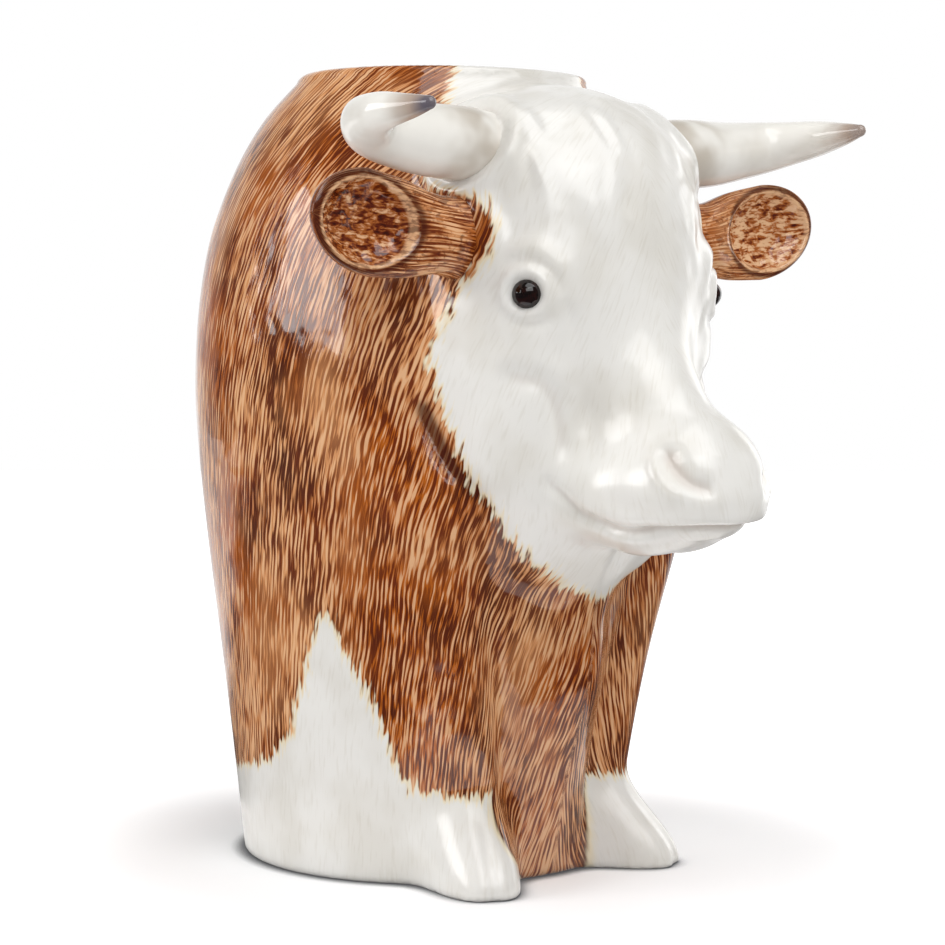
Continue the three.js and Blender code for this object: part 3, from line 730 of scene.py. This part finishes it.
def build_casting(coat, inside_glaze):
    """The glazed skin of body and head, in three pieces that share their edges: coat, face and inside."""

    def glazed(name, part, place, shade, strands, raised, smooth):
        paint = {"hair": strands, "brown": brown_depth(smooth), "crisp": crispness(smooth), "lift": raised}
        return mesh_of(name, place, part, shade, **paint)

    points, quads, outer = casting_skin()
    hair = hair_coordinates(points, quads, outer)
    centre = points[quads].mean(1)
    outside = outer[quads].all(1)
    in_front = outside & (centre[:, 1] < FACE_BACK) & (centre[:, 2] > FACE_BOTTOM) & (centre[:, 2] < LIP)
    lift = np.where(outer & (points[:, 2] < LIP), relief(points), 0)
    lifted = points + unit(slope_of(casting_field, points)) * lift[:, None]
    normals = point_normals(lifted, quads)

    part, used, values = kept_part(quads, outside & ~in_front, lifted, normals, hair, lift)
    put(glazed("coat", part, *values, points[used]), coat, "vase_body")

    part, used, (place, shade) = kept_part(quads, ~outside, lifted, normals)
    put(mesh_of("inside", place, part, shade), inside_glaze, "vase_body")

    part, used, values = kept_part(quads, in_front, lifted, normals, hair, points)
    finer, fixed, (bent, shade, strands, smooth) = quartered(part, *values)
    free = ~fixed
    smooth[free] = settle(casting_field, smooth[free], 2)
    raised = evened(relief(smooth), edges_of(finer), SMOOTHING)
    bent[free] = smooth[free] + unit(slope_of(casting_field, smooth[free])) * raised[free, None]
    shade = np.where(fixed[:, None], unit(shade), point_normals(bent, finer))
    put(glazed("face", finer, bent, shade, strands, raised, smooth), coat, "head")


def grid_quads(rows, sides):
    row, side = np.meshgrid(np.arange(rows - 1), np.arange(sides), indexing="ij")
    after = (side + 1) % sides
    corners = (row * sides + side, row * sides + after, (row + 1) * sides + after, (row + 1) * sides + side)
    return np.stack(corners, -1).reshape(-1, 4)


def both_sides(name, node, points, quads, slot, material, **attributes):
    """A piece on the bull's left and its mirror image on the right; {} stands for the side."""
    for side, sign in (("left", 1), ("right", -1)):
        if "hair" in attributes:
            attributes["hair"][:, 2] = sign * SIDE_SHIFT
        facing = quads if sign > 0 else quads[:, ::-1]
        mesh = mesh_of(name.format(side), (points + EYE_LINE) * (sign, 1, 1), facing, **attributes)
        put(mesh, material, node.format(side))


def build_horns(glaze):
    """Tapering tubes with round tips."""
    lengths = np.concatenate(((0,), np.cumsum(np.linalg.norm(np.diff(HORN_PATH, axis=0), axis=1))))
    share = np.linspace(0, 1, HORN_ROWS)
    centre = np.stack([through(lengths, HORN_PATH[:, k])(share * lengths[-1]) for k in range(3)], 1)
    ahead = unit(np.gradient(centre, axis=0))
    up = unit(np.cross(ahead, np.cross((0, 0, 1.0), ahead)))
    aside = np.cross(ahead, up)
    radius = HORN_RADII[1] + (HORN_RADII[0] - HORN_RADII[1]) * (1 - share**HORN_TAPER)
    cap = np.linspace(0, np.pi / 2, HORN_TIP_ROWS)[1:]
    centre = np.concatenate((centre, centre[-1] + HORN_RADII[1] * np.sin(cap)[:, None] * ahead[-1]))
    radius = np.concatenate((radius, HORN_RADII[1] * np.maximum(np.cos(cap), 0.01)))
    up, aside = (np.concatenate((v, np.repeat(v[-1:], len(cap), 0))) for v in (up, aside))
    turn = np.linspace(0, 2 * np.pi, HORN_SIDES, endpoint=False)
    ring = np.cos(turn)[None, :, None] * up[:, None] + np.sin(turn)[None, :, None] * aside[:, None]
    points = (centre[:, None] + radius[:, None, None] * ring).reshape(-1, 3)
    swell = HORN_SWELL["height"] * wavelets(points, HORN_SWELL["length"], 5)
    points += swell[:, None] * unit(ring.reshape(-1, 3))
    along = np.repeat(np.concatenate((share, np.ones(len(cap)))), HORN_SIDES)
    quads = grid_quads(len(radius), HORN_SIDES)[:, ::-1]
    both_sides("horn_{}_glazed", "horn_{}", points, quads, "horn_glaze", glaze, along=along)


def ear_centre(across):
    share = (across - EAR_ROOT[0]) / (EAR_TIP[0] - EAR_ROOT[0])
    return EAR_ROOT + share[:, None] * (EAR_TIP - EAR_ROOT)


def cup_reach(points):
    """How far points lie from the middle of the ear's cup, as a share of its half sizes."""
    rise = math.atan2(EAR_TIP[2] - EAR_ROOT[2], EAR_TIP[0] - EAR_ROOT[0])
    x, _, z = (points - ear_centre(np.array((EAR_CUP_MIDDLE,), float))[0]).T
    wide = (x * math.cos(rise) + z * math.sin(rise)) / (EAR_TIP[0] - EAR_CUP_MIDDLE - EAR_RIM)
    high = (z * math.cos(rise) - x * math.sin(rise)) / (EAR_SECTIONS[-1, 1] - EAR_RIM)
    return np.hypot(wide, high)


def build_ears(glaze):
    """Buds with a cup pressed into the front, whose rim is rounded."""
    across = EAR_START + (EAR_TIP[0] - EAR_START) * np.sin(np.linspace(0, np.pi / 2 - 0.012, EAR_ROWS))
    beyond = np.maximum(across - EAR_WIDEST, 0) / (EAR_TIP[0] - EAR_WIDEST)
    closing = np.sqrt(1 - beyond**2)
    turn = np.linspace(0, 2 * np.pi, EAR_SIDES, endpoint=False)
    behind = np.sin(turn) > 0
    depth = np.where(behind, ear_back(across)[:, None], ear_front(across)[:, None])
    aside = closing[:, None] * depth * np.sin(turn)
    rise = -closing[:, None] * ear_height(across)[:, None] * np.cos(turn)
    centre = ear_centre(across)
    points = (centre[:, None] + np.stack((np.zeros_like(rise), aside, rise), -1)).reshape(-1, 3)
    share = cup_reach(points)
    front = np.tile(~behind, EAR_ROWS)
    floor = np.repeat(centre[:, 1], EAR_SIDES) - EAR_SECTIONS[-1, 2]
    bowl = np.sqrt(np.clip(1 - share**2, 0, None))
    floor += EAR_CUP_DEPTH * (bowl - CUP_OUTSIDE * np.maximum(share - 1, 0))
    pressed = -blended(-points[:, 1], -floor, EAR_RIM_ROUND)
    cup = np.where(front, smoothstep(floor - points[:, 1], *CUP_EDGE), 0)
    points[:, 1] = np.where(front, pressed, points[:, 1])
    quads = grid_quads(EAR_ROWS, EAR_SIDES)
    movable = np.zeros(len(points), bool)
    movable[EAR_SIDES:-EAR_SIDES] = True
    points = relaxed(points, edges_of(quads), movable, 2)
    swell = CUP_SWELL["height"] * cup * wavelets(points, CUP_SWELL["length"], 21)
    points += swell[:, None] * point_normals(points, quads)
    hair = np.zeros(points.shape)
    hair[:, 0] = np.tile(turn, EAR_ROWS) * EAR_ROUND
    hair[:, 1] = np.repeat(across, EAR_SIDES)
    paint = {"hair": hair, "brown": np.full(len(points), 9.0), "cup": cup}
    paint["reach"] = np.where(front, np.minimum(share, 2), 2)
    both_sides("ear_{}_glazed", "ear_{}", points, quads, "ear_glaze", glaze, **paint)


def build_eyes(glaze):
    """Glossy domes with a slight swell in the middle, seated in the pits of the lids."""
    polar = np.linspace(0.02, 0.62 * np.pi, EYE_RINGS)
    radius = EYE_RADIUS * np.sin(polar)
    swell = CORNEA["height"] * swelling(radius, CORNEA["half_width"]) * (polar < 1.5)
    height = EYE_RADIUS * np.cos(polar) + swell
    turn = np.linspace(0, 2 * np.pi, EYE_SIDES, endpoint=False)
    basis = np.array(Vector(EYE_OUTLOOK).to_track_quat("Z", "Y").to_matrix())
    ring = radius[:, None, None] * np.stack((np.cos(turn), np.sin(turn)), -1)
    flat = np.concatenate((ring, np.broadcast_to(height[:, None, None], (EYE_RINGS, EYE_SIDES, 1))), 2)
    points = flat.reshape(-1, 3) @ basis.T + EYE_PLACE - EYE_SINK * EYE_OUTLOOK
    both_sides("eye_{}", "head", points, grid_quads(EYE_RINGS, EYE_SIDES), "face_glaze", glaze)


def linear(code):
    """A colour in the renderer's linear values from its usual hexadecimal code."""
    parts = [int(code[k : k + 2], 16) / 255 for k in (1, 3, 5)]
    return tuple(c / 12.92 if c <= 0.04045 else ((c + 0.055) / 1.055) ** 2.4 for c in parts) + (1,)


# Colours of the glazes, as the photograph shows them
DARK_BROWN, DEEP_BROWN, CARAMEL, ORANGE = map(linear, ("#421204", "#682508", "#b0632b", "#b25c14"))
TAN, STRAW, CREAM = map(linear, ("#d2925f", "#ebbf94", "#ead7ab"))
WHITE, WARM_GREY, PINK_GREY = map(linear, ("#e9e7e2", "#d2cdc2", "#c6bab0"))
HORN_WHITE, HORN_GREY, HORN_BROWN, HORN_TIP = map(linear, ("#f0ede6", "#cac3b6", "#8d6a50", "#4c4a5c"))
EYE_BLACK, EYE_BROWN = map(linear, ("#0c0403", "#240b07"))
GLAZE_IOR = 1.55
GLAZE_ROUGHNESS = 0.07
WHITE_ROUGHNESS = 0.23
INSIDE_ROUGHNESS = 0.12
EYE_ROUGHNESS = 0.03
# Height of the glaze's slow swell, as a share of its other relief
UNEVEN = 9

# Painted strokes of the coat, in millimetres: how far apart they lie, and the grain that breaks them up
STROKE_GAP = 1.2
STROKE_GRAIN = (0.6, 8)
STROKE_BEND = (3.6, 17)
STROKE_SWING = 4
BRISTLE = (0.3, 7)
SWAY = 1.6
FRINGE = 2.7
# The strokes thin out towards the foot: heights, and the share taken off them at each
STROKES_THIN = (15, 95, -0.06, 0.0)
# Strokes of the white glaze and of the fringe between brown and white, by width and length
WHITE_HAIR = (0.7, 6)
FRINGE_STROKES = (0.9, 6)

# Camera, at the photograph's place and angle
CAMERA_AZIMUTH = math.radians(42)
CAMERA_DISTANCE = 706.9
CAMERA_HEIGHT = 154.25
CAMERA_PITCH = math.radians(3.84)
CAMERA_YAW = math.radians(-0.41)
FOCAL_PIXELS = 2600
IMAGE_SIZE = 945
SENSOR = 36
AHEAD = Vector((math.sin(CAMERA_AZIMUTH), math.cos(CAMERA_AZIMUTH), 0))
ASIDE = Vector((math.cos(CAMERA_AZIMUTH), -math.sin(CAMERA_AZIMUTH), 0))

# Reach of the paper to the camera's left and right, towards it and away from it, in metres
PAPER_SIDE = 0.9
PAPER_FRONT = 1.0
PAPER_BACK = 1.6
PAPER = linear("#f2f2f3")
PAPER_WHITE = linear("#f6f6f7")
PAPER_SHADE = linear("#5a5a5e")
PAPER_ROUGHNESS = 0.9
PAPER_IOR = 1.1
# Distances from the origin, in metres: where the camera sees the paper lifted, and the lift at both ends,
# and where the glaze stops mirroring it bright, and does so again behind the vase
PAPER_LIFTED = (0.08, 0.15, 0.15, 0.52)
PAPER_FAR = (0.2, 0.9, 0.0, 0.55)
PAPER_MIRRORED = (0.112, 0.122)
PAPER_BEHIND = (-0.35, -0.15)
# Reach of the thin shadow under the foot, and the glow of the paper mirrored bright
PAPER_CONTACT = 0.006
PAPER_GLOW = 0.35

# Softboxes: angle from the front towards the bull's right, angle up, distance, width and height, and watts
SOFTBOXES = {
    "softbox_left": (118, 20, 1.1, (0.82, 0.48), 5.9),
    "softbox_front": (14, 38, 1.2, (0.9, 0.6), 5),
    "softbox_right": (-95, 10, 1.1, (0.5, 0.6), 1.6),
    "softbox_top": (-10, 66, 1.2, (1.0, 0.8), 6.3),
}
SOFTBOX_AIM = Vector((0, 0, 0.11))

# Light of the room on the vase, and what the glaze mirrors of the room in front of it and behind it
WORLD_LIGHT = 0.3
ROOM_MIRRORED = (0.12, 1.0)
ROOM_SIDES = (0.6, 0.97)


def feed(socket, value):
    if isinstance(value, bpy.types.NodeSocket):
        socket.id_data.links.new(value, socket)
    else:
        socket.default_value = value


def add_node(tree, kind, *values, **settings):
    """A node with its settings, whose first inputs are fed."""
    made = tree.nodes.new("ShaderNode" + kind)
    for key, value in settings.items():
        setattr(made, key, value)
    for socket, value in zip(made.inputs, values):
        feed(socket, value)
    return made


def node(kind, *values, **settings):
    """A node in the tree of what feeds it."""
    tree = next(value.id_data for value in values if isinstance(value, bpy.types.NodeSocket))
    return add_node(tree, kind, *values, **settings)


def reckon(operation, *values):
    return node("Math", *values, operation=operation).outputs[0]


def times(first, *others):
    for other in others:
        first = reckon("MULTIPLY", first, other)
    return first


def plus(first, *others):
    for other in others:
        first = reckon("ADD", first, other)
    return first


def scaled(vector, scale, offset=(0, 0, 0)):
    return node("VectorMath", vector, scale, offset, operation="MULTIPLY_ADD").outputs[0]


def dot(vector, direction):
    return node("VectorMath", vector, direction, operation="DOT_PRODUCT").outputs["Value"]


def part_of(vector, number):
    return node("SeparateXYZ", vector).outputs[number]


def ramp(value, low, high, to_low=0, to_high=1, shape="SMOOTHSTEP"):
    return node("MapRange", value, low, high, to_low, to_high, interpolation_type=shape).outputs[0]


def layers(colour, *coats):
    """A colour with coats over it, each a share and a colour."""
    for share, over in coats:
        made = node("Mix", share, data_type="RGBA")
        feed(made.inputs[6], colour)
        feed(made.inputs[7], over)
        colour = made.outputs[2]
    return colour


def noise(vector, scale, detail=2, output="Fac", offset=(0, 0, 0), **settings):
    """Smooth noise, mostly between 0.3 and 0.7; the scale for each axis is one over its grain."""
    made = node("TexNoise", scaled(vector, scale, offset))
    for name, value in {"Scale": 1, "Detail": detail, **settings}.items():
        feed(made.inputs[name], value)
    return made.outputs[output]


def strokes(hair, width, length):
    """Noise drawn out along the hair."""
    return noise(hair, (1 / width, 1 / length, 1), 1)


class Glaze:
    """A painted material with a gloss. Its place is in millimetres and its spot in metres."""

    def __init__(self, name, roughness, ior=GLAZE_IOR):
        self.material = bpy.data.materials.new(name)
        self.material.use_nodes = True
        self.tree = self.material.node_tree
        self.looks(IOR=ior, Roughness=roughness)
        self.spot = self.source("TexCoord")["Object"]
        self.place = scaled(self.spot, (1 / MM, 1 / MM, 1 / MM))

    def looks(self, **values):
        for name, value in values.items():
            feed(self.tree.nodes["Principled BSDF"].inputs[name.replace("_", " ")], value)

    def source(self, kind, **settings):
        return add_node(self.tree, kind, **settings).outputs

    def guide(self, name, output="Fac"):
        """What the mesh says at each point."""
        return self.source("Attribute", attribute_name=name)[output]

    def swell(self):
        """The slow swell of a dipped and painted glaze, which breaks up what it mirrors."""
        return times(noise(self.place, (0.09, 0.09, 0.08), 1.5), UNEVEN)

    def finished(self, colour, height, rise):
        """The material with its colour, and relief whose height of one rises by so many millimetres."""
        bump = add_node(self.tree, "Bump", 1, rise * MM)
        feed(bump.inputs["Height"], height)
        self.looks(Base_Color=colour, Normal=bump.outputs["Normal"])
        return self.material


def brush_work(glaze, hair):
    """Darkness of the painted strokes, the pale gaps between them, their bristles, and patches of both."""
    sway = noise(glaze.place, (0.07, 0.07, 0.07), 1, "Color")
    strand = scaled(hair, (1, 1, 1), scaled(sway, (SWAY, SWAY, 0), (-SWAY / 2, -SWAY / 2, 0)))
    bend, grain, bristle = (strokes(strand, *size) for size in (STROKE_BEND, STROKE_GRAIN, BRISTLE))
    across = times(part_of(strand, 0), 2 * math.pi / STROKE_GAP)
    comb = reckon("SINE", plus(across, times(bend, 2 * STROKE_SWING)))
    patch = noise(glaze.place, (0.05, 0.05, 0.035), Roughness=0.6)
    cover = plus(
        times(comb, 0.1),
        grain,
        ramp(patch, 0.3, 0.7, -0.07, 0.11),
        ramp(bristle, 0.3, 0.7, -0.06, 0.06),
        ramp(part_of(glaze.place, 2), *STROKES_THIN),
    )
    wash = noise(glaze.place, (0.03, 0.03, 0.02), offset=(2, 5, 9))
    dark = times(ramp(cover, 0.45, 0.58), ramp(wash, 0.5, 0.66, 1, 0.5))
    return dark, ramp(cover, 0.46, 0.3), bristle, patch


def coat_paint(glaze, hair):
    """The brown of the coat, and the darkness of its strokes."""
    dark, pale, bristle, patch = brush_work(glaze, hair)
    warm = noise(glaze.place, (0.035, 0.035, 0.03), offset=(7, 3, 1))
    painted = layers(
        DEEP_BROWN,
        (ramp(patch, 0.35, 0.7), DARK_BROWN),
        (ramp(bristle, 0.45, 0.3, 0, 0.5), CARAMEL),
    )
    coat = layers(
        TAN,
        (ramp(warm, 0.4, 0.6), CARAMEL),
        (ramp(warm, 0.55, 0.7), ORANGE),
        (times(pale, 0.7), STRAW),
        (times(dark, 0.95), painted),
    )
    return coat, dark


def casting_glaze():
    """Brown coat and white face and hem in one glaze, which meet in a ragged fringe of strokes."""
    glaze = Glaze("painted_glaze", GLAZE_ROUGHNESS)
    hair = glaze.guide("hair", "Vector")
    crisp = glaze.guide("crisp")
    lift = glaze.guide("lift")
    coat, dark = coat_paint(glaze, hair)
    fine = strokes(hair, *WHITE_HAIR)
    cloud = noise(glaze.place, (0.06, 0.06, 0.05))
    pooled = plus(ramp(fine, 0.5, 0.75, 0, 0.25), ramp(cloud, 0.4, 0.7, 0, 0.45))
    reach = ramp(crisp, 0, 1, FRINGE * 3, 1.2)
    ragged = plus(strokes(hair, *FRINGE_STROKES), -0.5)
    edge = plus(glaze.guide("brown"), times(ragged, reach))
    covered = ramp(edge, -0.4, 0.9)
    brown = layers(
        coat,
        # Darker brown in the grooves of the relief, such as the fold of the neck: painted shade, with glaze
        # pooled in them
        (ramp(lift, -0.3, -1.5, 0, 0.8), DARK_BROWN),
        (times(crisp, ramp(edge, 1.8, 0.4), 0.8), DARK_BROWN),
    )
    colour = layers(
        WHITE,
        (pooled, WARM_GREY),
        # Pink-grey in the deep grooves of the white, such as the nostril and the mouth: painted shade, with
        # glaze pooled in them
        (ramp(lift, -0.5, -2.3, 0, 0.7), PINK_GREY),
        (times(ramp(edge, -2, 0.4), 0.8), CREAM),
        (covered, brown),
    )
    glaze.looks(Roughness=ramp(covered, 0, 1, WHITE_ROUGHNESS, GLAZE_ROUGHNESS))
    height = plus(times(dark, covered, -0.3), times(fine, 0.25), glaze.swell())
    return glaze.finished(colour, height, 0.06)


def inside_glaze():
    """White glaze with clouds and specks."""
    glaze = Glaze("inside_glaze", INSIDE_ROUGHNESS)
    cloud = noise(glaze.place, (0.05, 0.05, 0.03), 3)
    speck = noise(glaze.place, (0.6, 0.6, 0.6))
    colour = layers(
        WHITE,
        (ramp(cloud, 0.4, 0.7, 0, 0.5), WARM_GREY),
        (ramp(speck, 0.68, 0.8, 0, 0.35), HORN_GREY),
    )
    return glaze.finished(colour, cloud, 0.3)


def horn_glaze():
    """Grey-white horn, smeared at the root and with brown towards a blue-grey tip."""
    glaze = Glaze("horn_glaze", GLAZE_ROUGHNESS)
    along = glaze.guide("along")
    cloud = noise(glaze.place, (0.08, 0.08, 0.08))
    near_tip = plus(along, times(plus(cloud, -0.5), 0.1))
    rooted = times(ramp(along, 0.34, 0.14), ramp(cloud, 0.3, 0.6))
    by_side = ramp(part_of(glaze.place, 0), -20, 20, 1, 0.3)
    colour = layers(
        HORN_WHITE,
        (ramp(cloud, 0.4, 0.75, 0, 0.4), HORN_GREY),
        (ramp(near_tip, 0.84, 0.97, 0, 0.7), HORN_BROWN),
        (times(rooted, 0.8), HORN_GREY),
        (times(rooted, 0.16), HORN_BROWN),
        (times(ramp(near_tip, 0.955, 0.995, 0, 0.85), by_side), HORN_TIP),
    )
    return glaze.finished(colour, cloud, 0.12)


def ear_glaze():
    """Brown strokes outside, a mottled cup that is paler on the bull's left, and a pale rim between them."""
    glaze = Glaze("ear_glaze", GLAZE_ROUGHNESS)
    hair = glaze.guide("hair", "Vector")
    wisp = noise(glaze.place, (0.34, 0.34, 0.6), 3, Roughness=0.6, Distortion=0.6)
    hairs = noise(hair, (1.2, 0.3, 1), offset=(3, 8, 0), Distortion=0.5)
    by_side = ramp(part_of(glaze.place, 0), -20, 20, 0.01, -0.045)
    mottle = plus(times(wisp, 0.55), times(hairs, 0.45), by_side)
    inner = layers(
        STRAW,
        (ramp(mottle, 0.38, 0.49), CARAMEL),
        (ramp(mottle, 0.48, 0.56), DEEP_BROWN),
        (ramp(mottle, 0.56, 0.64), DARK_BROWN),
    )
    reach = glaze.guide("reach")
    outline = times(ramp(reach, 1.03, 1.09), ramp(reach, 1.22, 1.12))
    rim = times(ramp(reach, 0.94, 0.98), ramp(reach, 1.07, 1.02))
    colour = layers(
        coat_paint(glaze, hair)[0],
        (ramp(wisp, 0.46, 0.6, 0, 0.6), inner),
        (ramp(glaze.guide("cup"), 0.5, 0.8), inner),
        (times(outline, 0.75), DARK_BROWN),
        (times(rim, ramp(mottle, 0.42, 0.58, 0.95, 0.35)), STRAW),
    )
    return glaze.finished(colour, plus(times(mottle, 0.8), glaze.swell()), 0.06)


def eye_glaze():
    glaze = Glaze("eye_glaze", EYE_ROUGHNESS, 1.5)
    cloud = noise(glaze.place, (0.5, 0.5, 0.5))
    return glaze.finished(layers(EYE_BLACK, (ramp(cloud, 0.4, 0.7), EYE_BROWN)), cloud, 0.02)


build_casting(casting_glaze(), inside_glaze())
build_horns(horn_glaze())
build_ears(ear_glaze())
build_eyes(eye_glaze())


def aimed(name, data, place, look):
    """A camera or a light at a place, looking along a direction."""
    made = new_object(name, data)
    made.location = place
    made.rotation_mode = "QUATERNION"
    made.rotation_quaternion = look.to_track_quat("-Z", "Y")
    return made


def add_camera():
    data = bpy.data.cameras.new("camera")
    data.sensor_width = SENSOR
    data.lens = FOCAL_PIXELS * SENSOR / IMAGE_SIZE
    data.clip_start = 0.01
    look = math.cos(CAMERA_YAW) * AHEAD + math.sin(CAMERA_YAW) * ASIDE
    look = math.cos(CAMERA_PITCH) * look + Vector((0, 0, -math.sin(CAMERA_PITCH)))
    place = (-CAMERA_DISTANCE * AHEAD + Vector((0, FORWARD_SHIFT, CAMERA_HEIGHT))) * MM
    scene.camera = aimed("camera", data, place, look)


def floor_paper():
    """Pale paper, lifted to white for the camera, and mirrored dark in front of the vase and at its sides."""
    paper = Glaze("studio_paper", PAPER_ROUGHNESS, PAPER_IOR)
    seen = paper.source("LightPath")
    distance = node("VectorMath", paper.spot, operation="LENGTH").outputs["Value"]
    contact = add_node(paper.tree, "AmbientOcclusion", samples=8)
    feed(contact.inputs["Distance"], PAPER_CONTACT)
    open_air = ramp(contact.outputs["AO"], 0.45, 0.95, 0.1, 1)
    in_front = ramp(dot(paper.spot, -AHEAD), *PAPER_BEHIND)
    shaded = times(ramp(distance, *PAPER_MIRRORED), in_front)
    colour = layers(
        PAPER,
        (noise(paper.place, (0.02, 0.02, 0.02), 3), PAPER_WHITE),
        (times(seen["Is Glossy Ray"], shaded), PAPER_SHADE),
    )
    lift = plus(ramp(distance, *PAPER_LIFTED), ramp(distance, *PAPER_FAR))
    shown = times(seen["Is Camera Ray"], times(lift, open_air))
    mirrored = times(seen["Is Glossy Ray"], ramp(shaded, 0, 1, PAPER_GLOW, 0))
    # Where the occlusion is deep the paper's colour turns to its shade colour: a painted contact shadow under
    # the foot
    paper.looks(
        Base_Color=layers(PAPER_SHADE, (open_air, colour)),
        Emission_Color=(1, 1, 1, 1),
        Emission_Strength=plus(shown, mirrored),
    )
    return paper.material


def add_floor():
    mesh = bpy.data.meshes.new("floor")
    near, far, side = -PAPER_FRONT * AHEAD, PAPER_BACK * AHEAD, PAPER_SIDE * ASIDE
    mesh.from_pydata([near - side, near + side, far + side, far - side], [], [(0, 1, 2, 3)])
    mesh.materials.append(floor_paper())
    floor = new_object("floor", mesh)


def add_softboxes():
    for name, (azimuth, elevation, distance, size, watts) in SOFTBOXES.items():
        turn, rise = math.radians(azimuth), math.radians(elevation)
        away = Vector((-math.sin(turn) * math.cos(rise), -math.cos(turn) * math.cos(rise), math.sin(rise)))
        data = bpy.data.lights.new(name, "AREA")
        data.shape = "RECTANGLE"
        data.size, data.size_y = size
        data.energy = watts
        aimed(name, data, SOFTBOX_AIM + distance * away, -away)


def add_world():
    """White for the camera, and for the glaze a room that is darker on the photographer's side."""
    world = bpy.data.worlds.new("studio")
    scene.world = world
    world.use_nodes = True
    tree = world.node_tree
    facing = dot(add_node(tree, "TexCoord").outputs["Generated"], AHEAD)
    mirrored = ramp(facing, *ROOM_SIDES, *ROOM_MIRRORED, "LINEAR")
    seen = add_node(tree, "LightPath").outputs
    lit = ramp(seen["Is Glossy Ray"], 0, 1, WORLD_LIGHT, mirrored, "LINEAR")
    background = tree.nodes["Background"].inputs
    feed(background["Color"], (1, 1, 1, 1))
    feed(background["Strength"], ramp(seen["Is Camera Ray"], 0, 1, lit, 1, "LINEAR"))


add_camera()
add_floor()
add_softboxes()
add_world()
scene.view_settings.view_transform = "Standard"
